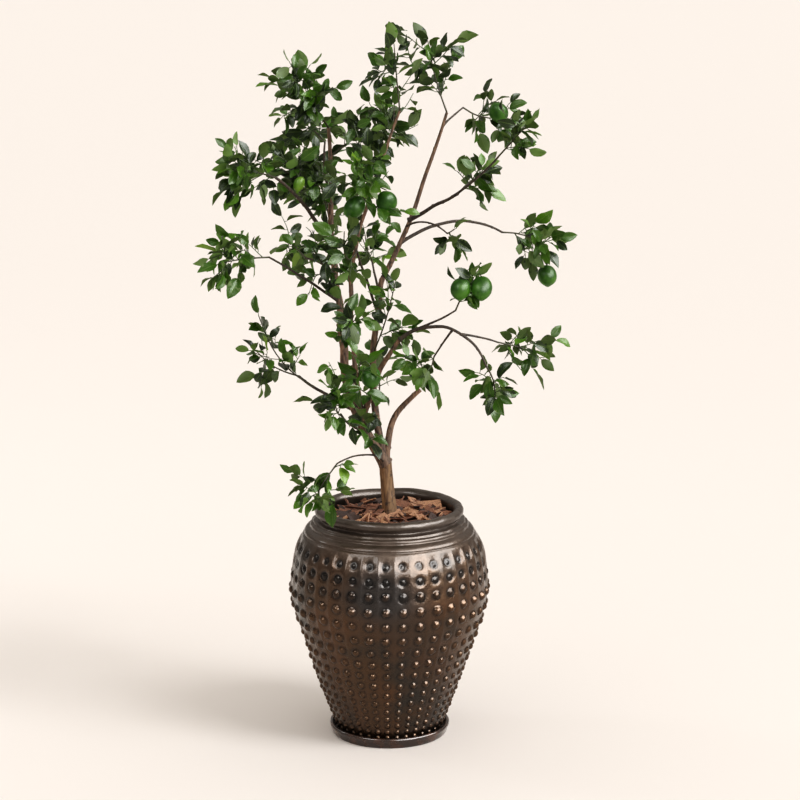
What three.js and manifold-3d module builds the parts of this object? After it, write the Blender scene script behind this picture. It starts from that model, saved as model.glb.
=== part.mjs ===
// A young lemon tree with three leaders, green fruit and open foliage, in a studded, glazed oil-jar
// pot on its saucer. Millimetres, +Z up, +X to the right, +Y to the back. The origin is the centre
// of the saucer's flat underside, where the whole thing stands.
import * as THREE from 'three'
import { mergeVertices } from 'three/addons/utils/BufferGeometryUtils.js'
import Module from 'manifold-3d'

const wasm = await Module()
wasm.setup()

// Pot: outer wall as radius and height, without its studs
const POT_WALL = [
  [129, 8.3], [138, 40], [156, 88], [183, 164], [211, 254],
  [229, 304], [241, 350], [244, 385], [240, 430], [232, 474], [213, 514],
]
// Two thrown rings on the shoulder, under the rim, as radius and height
const POT_RINGS = [
  [204, 528], [194, 532], [192, 541], [185, 545], [176, 550],
]
const RIM_RADIUS = 170.5
const RIM_HALF_WIDTH = 13.5
const RIM_HALF_HEIGHT = 12.5
const RIM_TOP = 581
// Inner wall from the neck down to the inside of the foot, as radius and height
const POT_INSIDE = [
  [178, 530], [230, 400], [168, 164], [115, 30],
]
const POT_COLUMNS = 36
// One column of studs stands just left of the front
const POT_TURN = THREE.MathUtils.degToRad(3.2)
const STUD_ROWS = 17
const STUD_TOP = 503
const STUD_HEIGHT = 6.5
const LOWEST_STUD_SHARE = 0.7
// The rows of studs close up with the radius: pitch = slope × radius − offset
const STUD_PITCH_SLOPE = 0.21
const STUD_PITCH_OFFSET = 12.5

// Saucer
const SAUCER_RADIUS = 150
const SAUCER_HEIGHT = 27
const SAUCER_FLOOR = 8
const SAUCER_LIP = 5
const SAUCER_SIDES = 28

// Soil and bark mulch that fill the pot
const GROUND = 551.7
const MULCH_RADIUS = 160
const MULCH_FALL = 7
const MULCH_RELIEF = 5
const MULCH_FLAT = 30

// Clearance that every two neighbouring pieces keep
const GAP = 0.3

// Limbs. A limb springs from a parent limb at a fraction of its length. It is one or more arcs of
// [heading, rise, turn, lift, length]: heading is degrees round from +X towards +Y, rise is degrees
// above level, and turn and lift are how much these change along the arc.
const LIMBS = {
  trunk: { arcs: [[177, 88, 26, -4, 140]], radii: [17.5, 15.5], flare: 6, sides: 12 },
  left_leader: {
    on: 'trunk', at: 0.97, radii: [13.2, 4.2], sides: 7,
    arcs: [[-154, 55, -84, 22, 281], [98, 77, 59, 5, 282], [68, 88, 69, -4, 282]],
  },
  right_leader: {
    on: 'trunk', at: 0.97, radii: [9.5, 3.4], sides: 7,
    arcs: [[183, 77, -183, 5, 443], [13, 65, -9, 8, 445]],
  },
  centre_leader: {
    on: 'left_leader', at: 0.12, radii: [7, 3], sides: 6,
    arcs: [[-127, 73, 7, 18, 405], [-17, 77, 7, -9, 402]],
  },
  arch_foot: { on: 'left_leader', at: 0.14, radii: [8, 5.2], arcs: [[-57, 70, 30, -18, 257]] },
  arch: { on: 'arch_foot', at: 1, radii: [5, 2.5], arcs: [[-24, 44, 0, -113, 271]] },
  arch_side: { on: 'arch', at: 0.62, radii: [3, 2], arcs: [[17, -7, 8, -16, 99]] },
  lime_twig: { on: 'arch', at: 0.21, radii: [3, 2], arcs: [[-26, 25, -6, 5, 112]] },
  star_twig: { on: 'arch', at: 0.54, radii: [2.8, 2], arcs: [[144, -50, 10, -8, 86]] },
  right_bough: { on: 'right_leader', at: 0.69, radii: [5.2, 3.4], arcs: [[-33, 29, -4, -3, 161]] },
  right_tip_bough: { on: 'right_bough', at: 0.88, radii: [3.2, 2.2], arcs: [[-34, 32, 3, 15, 167]] },
  far_right_bough: { on: 'right_leader', at: 0.62, radii: [4.6, 2.6], arcs: [[26, 32, 7, -61, 309]] },
  hanging_bough: { on: 'right_leader', at: 0.67, radii: [2.6, 1.8], arcs: [[-55, 30, 8, -59, 161]] },
  top_right_bough: { on: 'right_leader', at: 0.96, radii: [2.8, 2], arcs: [[54, 31, 5, -17, 102]] },
  crossing_bough: { on: 'right_leader', at: 0.42, radii: [3.6, 2.4], arcs: [[-119, 58, 19, -17, 227]] },
  upper_left_bough: { on: 'left_leader', at: 0.61, radii: [6.2, 3.4], arcs: [[-107, 56, -29, -24, 340]] },
  back_left_bough: { on: 'left_leader', at: 0.58, radii: [3.6, 2.4], arcs: [[122, 21, 5, -23, 136]] },
  middle_left_bough: { on: 'left_leader', at: 0.5, radii: [3.8, 2.2], arcs: [[-128, 31, -9, -2, 272]] },
  low_left_bough: { on: 'left_leader', at: 0.18, radii: [5, 3], arcs: [[133, 7, 12, 21, 203]] },
  low_front_bough: { on: 'left_leader', at: 0.11, radii: [3.6, 2.6], arcs: [[-127, 21, 11, 19, 134]] },
  lowest_bough: { on: 'trunk', at: 0.92, radii: [2.6, 1.8], arcs: [[-107, 46, -45, -68, 198]] },
  pruned_stub: { on: 'trunk', at: 0.97, radii: [9, 5.6], sides: 7, arcs: [[62, 88, -69, -51, 208]] },
  back_right_bough: { on: 'right_leader', at: 0.46, radii: [3.4, 2.2], arcs: [[100, 33, -5, -20, 168]] },
  back_top_bough: { on: 'left_leader', at: 0.79, radii: [3.6, 2.4], arcs: [[115, 53, -31, -12, 179]] },
}

// Masses of leaves. Each grows from one stem, an arc as above, with side twigs up to `reach` long.
// Fruit hang at their measured centres, as [x, y, z, diameter].
const MASSES = {
  top_centre: { on: 'centre_leader', at: 1, stem: [-190, 84, 17, 2, 145], reach: 50, twigs: 3, seed: 8 },
  top_right: { on: 'right_leader', at: 1, stem: [194, 68, -26, 13, 168], reach: 80, twigs: 5, seed: 57 },
  right_upper: {
    on: 'top_right_bough', at: 1, stem: [42, -34, -40, 38, 118], reach: 55, twigs: 4, seed: 13,
    fruit: [[267, 160, 1530, 48]],
  },
  right_tip: { on: 'right_tip_bough', at: 1, stem: [-35, 45, -7, -2, 97], reach: 55, twigs: 3, seed: 14 },
  right_middle: { on: 'right_bough', at: 1, stem: [26, 50, 7, -34, 75], reach: 40, twigs: 5, seed: 33 },
  far_right: {
    on: 'far_right_bough', at: 1, stem: [12, 1, -42, -37, 112], reach: 60, twigs: 6, seed: 29,
    fruit: [[394, 205, 1120, 49]],
  },
  lime_pair: {
    on: 'lime_twig', at: 1, stem: [-26, 69, 25, -22, 87], reach: 25, twigs: 3, seed: 14,
    fruit: [[168, -185, 1151, 48], [217, -180, 1152, 51]],
  },
  right_spray: { on: 'arch_side', at: 1, stem: [4, -12, 26, -8, 74], reach: 70, twigs: 4, seed: 1 },
  drooping: { on: 'arch', at: 1, stem: [35, -51, -29, -42, 73], reach: 30, twigs: 3, seed: 30 },
  star: { on: 'star_twig', at: 1, stem: [140, -89, -24, 92, 65], reach: 50, twigs: 3, seed: 3 },
  top_left: { on: 'left_leader', at: 1, stem: [-134, 52, -8, -9, 169], reach: 60, twigs: 6, seed: 34 },
  back_top: { on: 'back_top_bough', at: 1, stem: [128, 33, -41, -52, 159], reach: 95, twigs: 6, seed: 61 },
  left_cluster: {
    on: 'upper_left_bough', at: 1, stem: [-198, 16, 18, -10, 85],
    reach: 70, twigs: 6, seed: 23,
  },
  dense_left: {
    on: 'left_leader', at: 0.78, stem: [-113, 28, -29, 3, 204], reach: 100, twigs: 7, seed: 67,
    fruit: [[-211, -100, 1387, 27]],
  },
  high_left: { on: 'left_leader', at: 0.92, stem: [7, 42, -34, -28, 155], reach: 60, twigs: 6, seed: 48 },
  high_centre: { on: 'centre_leader', at: 0.9, stem: [73, 30, -15, 62, 84], reach: 85, twigs: 4, seed: 9 },
  fruit_spray: {
    on: 'centre_leader', at: 0.71, stem: [-107, 21, 18, 24, 152], reach: 105, twigs: 5, seed: 39,
    fruit: [[-58, -115, 1420, 46], [-80, -160, 1339, 50], [-5, -150, 1351, 50]],
  },
  left_middle: {
    on: 'middle_left_bough', at: 1, stem: [-158, 2, 24, -6, 127],
    reach: 45, twigs: 5, seed: 58,
  },
  back_left: { on: 'back_left_bough', at: 1, stem: [106, 7, 7, 3, 162], reach: 65, twigs: 3, seed: 39 },
  inner_left: { on: 'left_leader', at: 0.6, stem: [-96, -8, -31, 65, 148], reach: 65, twigs: 4, seed: 30 },
  crossing: { on: 'crossing_bough', at: 1, stem: [-121, -50, 20, 168, 118], reach: 50, twigs: 4, seed: 22 },
  low_inner: { on: 'left_leader', at: 0.4, stem: [-77, 21, -4, 9, 183], reach: 75, twigs: 4, seed: 67 },
  upright_shoot: {
    on: 'low_left_bough', at: 0.71, stem: [159, 22, 4, 53, 228],
    reach: 30, twigs: 3, seed: 34,
  },
  low_left: { on: 'low_left_bough', at: 1, stem: [-189, 11, 46, 39, 117], reach: 60, twigs: 4, seed: 3 },
  low_front: { on: 'low_front_bough', at: 1, stem: [-95, -1, -12, 85, 116], reach: 70, twigs: 5, seed: 46 },
  centre_low: {
    on: 'centre_leader', at: 0.15, stem: [-95, -5, 21, 73, 144], reach: 60, twigs: 4, seed: 10,
    fruit: [[-42, -160, 935, 47]],
  },
  right_inner: {
    on: 'right_leader', at: 0.31, stem: [-41, 62, -21, 6, 192],
    reach: 65, twigs: 3, seed: 29,
  },
  hanging: { on: 'hanging_bough', at: 1, stem: [-65, 14, 19, 18, 22], reach: 75, twigs: 2, seed: 54 },
  lowest: { on: 'lowest_bough', at: 1, stem: [-110, -18, -59, -54, 104], reach: 60, twigs: 3, seed: 38 },
  trunk_spray: { on: 'left_leader', at: 0.07, stem: [-102, 19, -14, 49, 116], reach: 40, twigs: 2, seed: 30 },
  back_right: { on: 'back_right_bough', at: 1, stem: [92, 0, 25, 45, 101], reach: 75, twigs: 3, seed: 21 },
  back: { on: 'left_leader', at: 0.7, stem: [95, 23, 19, 26, 270], reach: 85, twigs: 4, seed: 47 },
  low_back: { on: 'right_leader', at: 0.17, stem: [73, 11, 37, 38, 184], reach: 65, twigs: 2, seed: 64 },
}

// Twigs and leaves. Both leave a three-sided twig through the middle of a side, a third of a turn
// on from the one before.
const STEM_RADII = [2.9, 2.1]
const TWIG_RADII = [0.95, 1.5]
const STALK_RADIUS = 1.2
const STEM_LEAF_STEP = 31
const TWIG_LEAF_STEP = 24
const LEAF_LENGTH = [64, 88]
const LEAF_WIDTH = 0.54
const LEAF_THICKNESS = 1.6
const LEAF_BELLY = 0.45
const LEAF_ARCH = 0.07
const FRUIT_TALL = 1.06
const FIRST_SIDE = 30
const THIRD_OF_TURN = 120

const BRONZE_GLAZE = new THREE.MeshStandardMaterial({ color: 0x5b4a3e, roughness: 0.32, metalness: 0.35 })
const DARK_GLAZE = new THREE.MeshStandardMaterial({ color: 0x3a2820, roughness: 0.25, metalness: 0.2 })
const BARK_MULCH = new THREE.MeshStandardMaterial({ color: 0x6e4632, roughness: 0.95, metalness: 0 })
const LEMON_BARK = new THREE.MeshStandardMaterial({ color: 0x8a6a49, roughness: 0.85, metalness: 0 })
const LEMON_LEAF = new THREE.MeshStandardMaterial({ color: 0x2c5a22, roughness: 0.45, metalness: 0 })

const tree = new THREE.Group()
const UP = new THREE.Vector3(0, 0, 1)

function addPiece(name, geometry, material) {
  const mesh = new THREE.Mesh(geometry, material)
  mesh.name = name
  tree.add(mesh)
}

// Seeded random numbers between 0 and 1, the same on every run
function seededRandom(seed) {
  let state = seed >>> 0
  return () => {
    state = (state + 0x6d2b79f5) >>> 0
    let mixed = Math.imul(state ^ (state >>> 15), 1 | state)
    mixed = (mixed + Math.imul(mixed ^ (mixed >>> 7), 61 | mixed)) ^ mixed
    return ((mixed ^ (mixed >>> 14)) >>> 0) / 4294967296
  }
}

function solidOf(geometry) {
  const bare = geometry.clone()
  bare.deleteAttribute('normal')
  bare.deleteAttribute('uv')
  const merged = mergeVertices(bare, 1e-4)
  const mesh = new wasm.Mesh({
    numProp: 3,
    vertProperties: new Float32Array(merged.attributes.position.array),
    triVerts: new Uint32Array(merged.index.array),
  })
  mesh.merge()
  return new wasm.Manifold(mesh)
}

function geometryOf(solid) {
  const mesh = solid.getMesh()
  const geometry = new THREE.BufferGeometry()
  geometry.setAttribute('position', new THREE.BufferAttribute(new Float32Array(mesh.vertProperties), 3))
  geometry.setIndex(new THREE.BufferAttribute(new Uint32Array(mesh.triVerts), 1))
  geometry.computeVertexNormals()
  return geometry
}

// The solid of a geometry whose faces may all point inwards
function outward(geometry) {
  const solid = solidOf(geometry)
  if (solid.volume() > 0) return solid
  const index = geometry.index.array
  for (let k = 0; k < index.length; k += 3) [index[k], index[k + 1]] = [index[k + 1], index[k]]
  return solidOf(geometry)
}

// The largest body of a solid, because a cut can leave a loose scrap beside it
function largestBody(solid) {
  const bodies = solid.decompose()
  return bodies.reduce((a, b) => (b.volume() > a.volume() ? b : a))
}

// Pot: one lathe-turned wall with its rings and rolled rim, and a raised stud in each cell of the
// belly, in straight columns
const wallCurve = new THREE.SplineCurve(POT_WALL.map(([r, z]) => new THREE.Vector2(r, z)))

function wallRadius(z) {
  const points = wallCurve.getPoints(120)
  const k = points.findIndex((p) => p.y >= z)
  if (k < 1) return points[0].x
  const [a, b] = [points[k - 1], points[k]]
  return a.x + ((b.x - a.x) * (z - a.y)) / (b.y - a.y)
}

function studRowEdges() {
  const edges = [STUD_TOP]
  for (let row = 0; row < STUD_ROWS; row++) {
    const z = edges[row]
    edges.push(z - (STUD_PITCH_SLOPE * wallRadius(z) - STUD_PITCH_OFFSET))
  }
  return edges.reverse()
}

function arcPoints(cx, cy, rx, ry, from, to, steps) {
  return Array.from({ length: steps + 1 }, (_, k) => {
    const a = THREE.MathUtils.degToRad(from + ((to - from) * k) / steps)
    return [cx + rx * Math.cos(a), cy + ry * Math.sin(a)]
  })
}

function latheGeometry(profile, segments) {
  const points = profile.map(([r, z]) => new THREE.Vector2(r, z))
  return new THREE.LatheGeometry(points, segments).rotateX(Math.PI / 2)
}

function potGeometry() {
  const edges = studRowEdges()
  const rimZ = RIM_TOP - RIM_HALF_HEIGHT
  const profile = [
    [0, POT_WALL[0][1]],
    POT_WALL[0],
    ...edges.map((z) => [wallRadius(z), z]),
    POT_WALL.at(-1),
    ...POT_RINGS,
    ...arcPoints(RIM_RADIUS, rimZ, RIM_HALF_WIDTH, RIM_HALF_HEIGHT, -60, 180, 5),
    ...POT_INSIDE,
    [0, POT_INSIDE.at(-1)[1]],
  ]
  const geometry = latheGeometry(profile, POT_COLUMNS)
  return raiseStuds(geometry, profile.length, 2, edges.length - 1).rotateZ(POT_TURN)
}

// Each cell between two row edges gets a new corner in its middle, raised off the wall
function raiseStuds(geometry, rings, firstRing, rows) {
  const position = Array.from(geometry.attributes.position.array)
  const index = []
  const corner = (n) => new THREE.Vector3().fromArray(position, n * 3)
  for (let column = 0; column < POT_COLUMNS; column++) {
    for (let ring = 0; ring < rings - 1; ring++) {
      const a = column * rings + ring
      const cell = [a, a + rings, a + rings + 1, a + 1]
      if (ring >= firstRing && ring < firstRing + rows) {
        const middle = cell.reduce((sum, n) => sum.add(corner(n)), new THREE.Vector3()).divideScalar(4)
        const share = THREE.MathUtils.lerp(LOWEST_STUD_SHARE, 1, (ring - firstRing) / rows)
        const out = new THREE.Vector3(middle.x, middle.y, 0).normalize()
        middle.addScaledVector(out, STUD_HEIGHT * share)
        const apex = position.length / 3
        position.push(...middle.toArray())
        cell.forEach((n, k) => index.push(n, cell[(k + 1) % 4], apex))
      } else {
        index.push(cell[0], cell[1], cell[2], cell[0], cell[2], cell[3])
      }
    }
  }
  const studded = new THREE.BufferGeometry()
  studded.setAttribute('position', new THREE.Float32BufferAttribute(position, 3))
  studded.setIndex(index)
  return studded
}

// Saucer: a shallow dish with a rolled lip, flat underneath
function saucerGeometry() {
  const lipRadius = SAUCER_RADIUS - SAUCER_LIP
  const profile = [
    [0, 0],
    [SAUCER_RADIUS - 9, 0],
    ...arcPoints(lipRadius, SAUCER_HEIGHT - SAUCER_LIP, SAUCER_LIP, SAUCER_LIP, -40, 180, 4),
    [SAUCER_RADIUS - 3 * SAUCER_LIP, SAUCER_FLOOR],
    [0, SAUCER_FLOOR],
  ]
  return latheGeometry(profile, SAUCER_SIDES)
}

// Soil: fills the pot's inside, with rough bark mulch on top that falls a little to the wall and is
// level under the trunk
function soilGeometry() {
  const foot = POT_INSIDE.at(-1)[1] + GAP
  const wall = POT_INSIDE.map(([r, z]) => [r - 1, Math.max(z, foot)]).reverse()
  const profile = [
    [0, foot],
    ...wall,
    [MULCH_RADIUS, GROUND - MULCH_FALL],
    [MULCH_FLAT, GROUND],
    [0, GROUND],
  ]
  const geometry = latheGeometry(profile, POT_COLUMNS)
  const position = geometry.attributes.position
  const rings = profile.length
  const random = seededRandom(11)
  const relief = profile.map(() => Array.from({ length: POT_COLUMNS }, () => random() - 0.5))
  for (let n = 0; n < position.count; n++) {
    const ring = n % rings
    const column = Math.floor(n / rings) % POT_COLUMNS
    if (ring > wall.length && ring < rings - 2) {
      position.setZ(n, position.getZ(n) + MULCH_RELIEF * relief[ring][column])
    }
  }
  return geometry.rotateZ(POT_TURN)
}

// Limbs and stems: a path walked in short steps whose heading and rise change evenly
function walk(start, arcs, steps) {
  const points = [start.clone()]
  for (const [heading, rise, turn, lift, length] of arcs) {
    for (let k = 0; k < steps; k++) {
      const t = (k + 0.5) / steps
      const h = THREE.MathUtils.degToRad(heading + turn * t)
      const r = THREE.MathUtils.degToRad(rise + lift * t)
      const step = new THREE.Vector3(Math.cos(r) * Math.cos(h), Math.cos(r) * Math.sin(h), Math.sin(r))
      points.push(points.at(-1).clone().addScaledVector(step, length / steps))
    }
  }
  return points
}

// The point and direction at a fraction of a path's length
function along(points, fraction) {
  const lengths = points.slice(1).map((p, k) => p.distanceTo(points[k]))
  let rest = fraction * lengths.reduce((a, b) => a + b, 0)
  let k = 0
  while (k < lengths.length - 1 && rest > lengths[k]) rest -= lengths[k++]
  const direction = points[k + 1].clone().sub(points[k]).normalize()
  return { point: points[k].clone().addScaledVector(direction, rest), direction }
}

// Two axes square to a direction and to each other. A whole path takes them from one reference, so
// that they turn smoothly along it.
const REFERENCES = [new THREE.Vector3(0.1, 0.75, -0.65).normalize(), new THREE.Vector3(1, 0, 0)]

function crossAxes(direction, reference) {
  const side = reference.clone().cross(direction).normalize()
  return [side, direction.clone().cross(side)]
}

// The first reference, unless a step of the path lies close to it
function referenceFor(points) {
  const [usual, other] = REFERENCES
  const steps = points.slice(1).map((p, k) => p.clone().sub(points[k]).normalize())
  return steps.some((step) => Math.abs(step.dot(usual)) > 0.95) ? other : usual
}

// A direction tilted away from another by `spread` degrees, towards `angle` degrees round it
function tilted(direction, angle, spread, reference) {
  const [side, other] = crossAxes(direction, reference)
  const a = THREE.MathUtils.degToRad(angle)
  const s = THREE.MathUtils.degToRad(spread)
  const out = side.multiplyScalar(Math.cos(a)).addScaledVector(other, Math.sin(a))
  return direction.clone().multiplyScalar(Math.cos(s)).addScaledVector(out, Math.sin(s))
}

// A tapering rod bent along a path, from a cylinder whose rings are moved onto it. `extra` swells
// it on all sides, to cut its neighbours clear.
function rod(points, radiusAt, sides, rings, extra = 0, level = false) {
  const cylinder = new THREE.CylinderGeometry(1, 1, 1, sides, rings)
  const position = cylinder.attributes.position
  const reference = referenceFor(points)
  for (let n = 0; n < position.count; n++) {
    const t = THREE.MathUtils.clamp(position.getY(n) + 0.5, 0, 1)
    const { point, direction } = along(points, t)
    const end = t < 1e-6 ? -extra : t > 1 - 1e-6 ? extra : 0
    point.addScaledVector(direction, end)
    const [side, other] = crossAxes(level ? UP : direction, reference)
    const radius = radiusAt(t) + extra
    point.addScaledVector(side, position.getX(n) * radius)
    point.addScaledVector(other, position.getZ(n) * radius)
    position.setXYZ(n, point.x, point.y, point.z)
  }
  return outward(cylinder)
}

const taper = ([foot, tip]) => (t) => foot + (tip - foot) * t

// Every limb's path, its solid cut clear of the limbs before it, and the swollen copy that cuts
// the ones after it
const STEPS = 12
const STEM_STEPS = 3
const paths = {}
const swollen = {}

for (const [name, limb] of Object.entries(LIMBS)) {
  const start = limb.on ? along(paths[limb.on], limb.at).point : new THREE.Vector3(0, 0, GROUND + GAP)
  const path = walk(start, limb.arcs, STEPS)
  paths[name] = path
  const flare = limb.flare ?? 0
  const radiusAt = (t) => taper(limb.radii)(t) + flare * Math.exp(-t * 9)
  const length = limb.arcs.reduce((sum, arc) => sum + arc[4], 0)
  const sides = limb.sides ?? (limb.radii[0] > 4 ? 5 : 4)
  const rings = Math.max(2, Math.round(length / 88))
  let solid = rod(path, radiusAt, sides, flare ? 5 : rings, 0, flare > 0)
  for (const other of Object.values(swollen)) {
    if (boxesTouch(solid, other)) solid = solid.subtract(other)
  }
  solid = largestBody(solid)
  swollen[name] = rod(path, radiusAt, sides, flare ? 5 : rings, GAP * 1.3, flare > 0)
  addPiece(name, geometryOf(solid), LEMON_BARK)
}

function boxesTouch(a, b) {
  const [p, q] = [a.boundingBox(), b.boundingBox()]
  return [0, 1, 2].every((k) => p.min[k] <= q.max[k] + GAP && q.min[k] <= p.max[k] + GAP)
}

// One leaf blade: a ridged kite from a coarse sphere. Its poles are the root, in the twig's middle,
// and the tip; its three middle corners are the two edges at the widest place and the rib above
// them, which stands higher than root and tip, so that the leaf droops.
function leafSolid({ root, direction, normal, length }) {
  const across = normal.clone().cross(direction).normalize()
  const blade = new THREE.SphereGeometry(1, 3, 2)
  const position = blade.attributes.position
  for (let n = 0; n < position.count; n++) {
    const [x, pole, z] = [position.getX(n), position.getY(n), position.getZ(n)]
    const middle = Math.abs(pole) < 0.5
    const rib = middle && Math.abs(z) < 0.1
    const ends = middle ? LEAF_BELLY * length : pole > 0 ? length : 0
    const rise = middle ? LEAF_ARCH * length + (rib ? LEAF_THICKNESS : 0) : 0
    const width = middle && !rib ? (Math.sign(z) * LEAF_WIDTH * length) / 2 : 0
    const place = root.clone()
      .addScaledVector(direction, ends)
      .addScaledVector(across, width)
      .addScaledVector(normal, rise)
    position.setXYZ(n, place.x, place.y, place.z)
  }
  return outward(blade)
}

// The places of a mass's twigs and leaves, by a seeded rule. Twigs leave the stem at even spaces,
// round it by thirds of a turn, and rise a little; leaves leave stem and twigs the same way, droop
// a little, and one leaf carries on each tip.
function growMass(path, reach, twigCount, seed) {
  const random = seededRandom(seed)
  const reference = referenceFor(path)
  const axes = [{ points: path, reference, radii: STEM_RADII, step: STEM_LEAF_STEP, from: 0.25 }]
  for (let k = 0; k < twigCount; k++) {
    const place = 0.15 + (0.8 * (k + 0.25 + 0.5 * random())) / twigCount
    const angle = FIRST_SIDE + THIRD_OF_TURN * k + 36 * (random() - 0.5)
    const spread = 42 + 26 * random()
    const length = reach * (0.75 + 0.4 * random()) * (1 - 0.25 * place)
    const { point, direction } = along(path, place)
    const heading = tilted(direction, angle, spread, reference)
    heading.z += 0.22
    heading.normalize()
    const tip = point.clone().addScaledVector(heading, length)
    const points = [point, tip]
    axes.push({
      points, reference: referenceFor(points), radii: TWIG_RADII, step: TWIG_LEAF_STEP, from: 0.35,
    })
  }
  const leaves = []
  axes.forEach((axis, which) => {
    const length = axis.points.slice(1).reduce((sum, p, k) => sum + p.distanceTo(axis.points[k]), 0)
    const count = Math.max(1, Math.round((length * (1 - axis.from)) / axis.step))
    for (let k = 0; k <= count; k++) {
      const atTip = k === count
      const t = atTip ? 1 - 1 / length : axis.from + ((1 - axis.from) * k) / count
      const { point, direction } = along(axis.points, t)
      const angle = FIRST_SIDE + THIRD_OF_TURN * (k + which) + 40 * (random() - 0.5)
      const spread = atTip ? 6 + 14 * random() : 48 + 24 * random()
      const droop = atTip ? 0.1 : 0.1 + 0.35 * random()
      const blade = tilted(direction, angle, spread, axis.reference)
      blade.z -= droop
      blade.normalize()
      const face = tilted(direction, angle, 90, axis.reference)
      const tumble = new THREE.Vector3(random() - 0.5, random() - 0.5, random() - 0.5)
      const normal = UP.clone().multiplyScalar(0.55).addScaledVector(face, -0.35)
      normal.addScaledVector(tumble, 1.5)
      normal.addScaledVector(blade, -normal.dot(blade)).normalize()
      const size = LEAF_LENGTH[0] + (LEAF_LENGTH[1] - LEAF_LENGTH[0]) * random()
      leaves.push({ axis: which, root: point, direction: blade, normal, length: size })
    }
  })
  return { axes, leaves }
}

const stems = {}
for (const [name, mass] of Object.entries(MASSES)) {
  stems[name] = walk(along(paths[mass.on], mass.at).point, [mass.stem], STEM_STEPS)
}

// A mass keeps to its own space: the points that lie nearer to its stem than to any other's
function inOwnSpace(name, point) {
  const nearest = (path) => Math.min(...path.map((p) => p.distanceTo(point)))
  const own = nearest(stems[name])
  return Object.entries(stems).every(([other, path]) => other === name || nearest(path) > own)
}

function clearOf(solid, others, gap) {
  return others.every((other) => !boxesTouch(solid, other) || solid.minGap(other, 1) > gap)
}

const cutters = Object.values(swollen)
const finished = []

// A side twig is kept where its tip stays in the mass's own space and it touches nothing. The stem
// is cut clear of the limb that it springs from.
function twigSolid(name, axis, isStem) {
  let twig = rod(axis.points, taper(axis.radii), 3, isStem ? STEM_STEPS : 1)
  if (isStem) {
    for (const limb of cutters) if (boxesTouch(twig, limb)) twig = twig.subtract(limb)
    return largestBody(twig)
  }
  const free = inOwnSpace(name, axis.points[1]) && clearOf(twig, cutters, 0)
  return free && clearOf(twig, finished, GAP) ? twig : null
}

// A fruit: a slightly long ball of few faces, hung by its stalk from the nearest place on the stem
function fruitSolids(name, [x, y, z, diameter]) {
  const ball = new THREE.SphereGeometry(diameter / 2, 7, 5).rotateX(Math.PI / 2).scale(1, 1, FRUIT_TALL)
  const crown = new THREE.Vector3(x, y, z + diameter * 0.45)
  const nearest = stems[name].reduce((a, b) => (b.distanceTo(crown) < a.distanceTo(crown) ? b : a))
  return [outward(ball.translate(x, y, z)), rod([nearest, crown], () => STALK_RADIUS, 3, 1)]
}

function massSolid(name, mass) {
  const { axes, leaves } = growMass(stems[name], mass.reach, mass.twigs, mass.seed)
  const twigs = axes.map((axis, which) => twigSolid(name, axis, which === 0))
  const fruit = (mass.fruit ?? []).flatMap((each) => fruitSolids(name, each))
  const blades = []
  for (const leaf of leaves) {
    const middle = leaf.root.clone().addScaledVector(leaf.direction, leaf.length / 2)
    if (!twigs[leaf.axis] || !inOwnSpace(name, middle)) continue
    const blade = leafSolid(leaf)
    const crosses = (other) => boxesTouch(blade, other) && !blade.intersect(other).isEmpty()
    if (blades.some(crosses) || fruit.some(crosses)) continue
    if (clearOf(blade, cutters, 0) && clearOf(blade, finished, GAP)) blades.push(blade)
  }
  const pieces = [...twigs.filter((twig) => twig), ...fruit, ...blades]
  return largestBody(wasm.Manifold.union(pieces)).simplify(0.05)
}

for (const [name, mass] of Object.entries(MASSES)) {
  const joined = massSolid(name, mass)
  finished.push(joined)
  addPiece(`${name}_leaves`, geometryOf(joined), LEMON_LEAF)
}

addPiece('pot', potGeometry(), BRONZE_GLAZE)
addPiece('saucer', saucerGeometry(), DARK_GLAZE)
addPiece('soil_and_mulch', soilGeometry(), BARK_MULCH)

export default tree
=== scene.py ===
import math

import bpy
import numpy as np
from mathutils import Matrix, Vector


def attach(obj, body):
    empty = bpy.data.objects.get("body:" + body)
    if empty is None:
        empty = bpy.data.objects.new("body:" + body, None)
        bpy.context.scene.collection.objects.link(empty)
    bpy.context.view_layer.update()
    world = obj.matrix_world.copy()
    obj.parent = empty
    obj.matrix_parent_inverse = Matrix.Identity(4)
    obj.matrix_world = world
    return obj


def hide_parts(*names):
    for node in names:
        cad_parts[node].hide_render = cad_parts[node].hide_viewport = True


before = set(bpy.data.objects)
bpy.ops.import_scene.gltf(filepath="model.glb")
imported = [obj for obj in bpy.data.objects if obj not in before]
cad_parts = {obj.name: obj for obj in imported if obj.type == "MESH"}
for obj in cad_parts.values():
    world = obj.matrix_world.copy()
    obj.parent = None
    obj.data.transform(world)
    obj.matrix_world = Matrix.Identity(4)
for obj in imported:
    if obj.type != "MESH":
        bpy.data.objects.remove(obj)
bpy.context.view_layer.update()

# Camera: in front of the pot and well above its rim, looking a little down, with a long lens, so that
# the pot's rim and foot show as the flat ellipses of the photo.
CAMERA_PLACE = (0.0263, -5.726, 2.073)
CAMERA_TURN = math.radians(77.9)
LENS = 108
SENSOR = 36
camera = bpy.data.objects.new("camera", bpy.data.cameras.new("camera"))
camera.data.lens = LENS
camera.data.sensor_width = SENSOR
camera.location = CAMERA_PLACE
camera.rotation_euler = (CAMERA_TURN, 0, 0)
bpy.context.scene.collection.objects.link(camera)
bpy.context.scene.camera = camera

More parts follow.
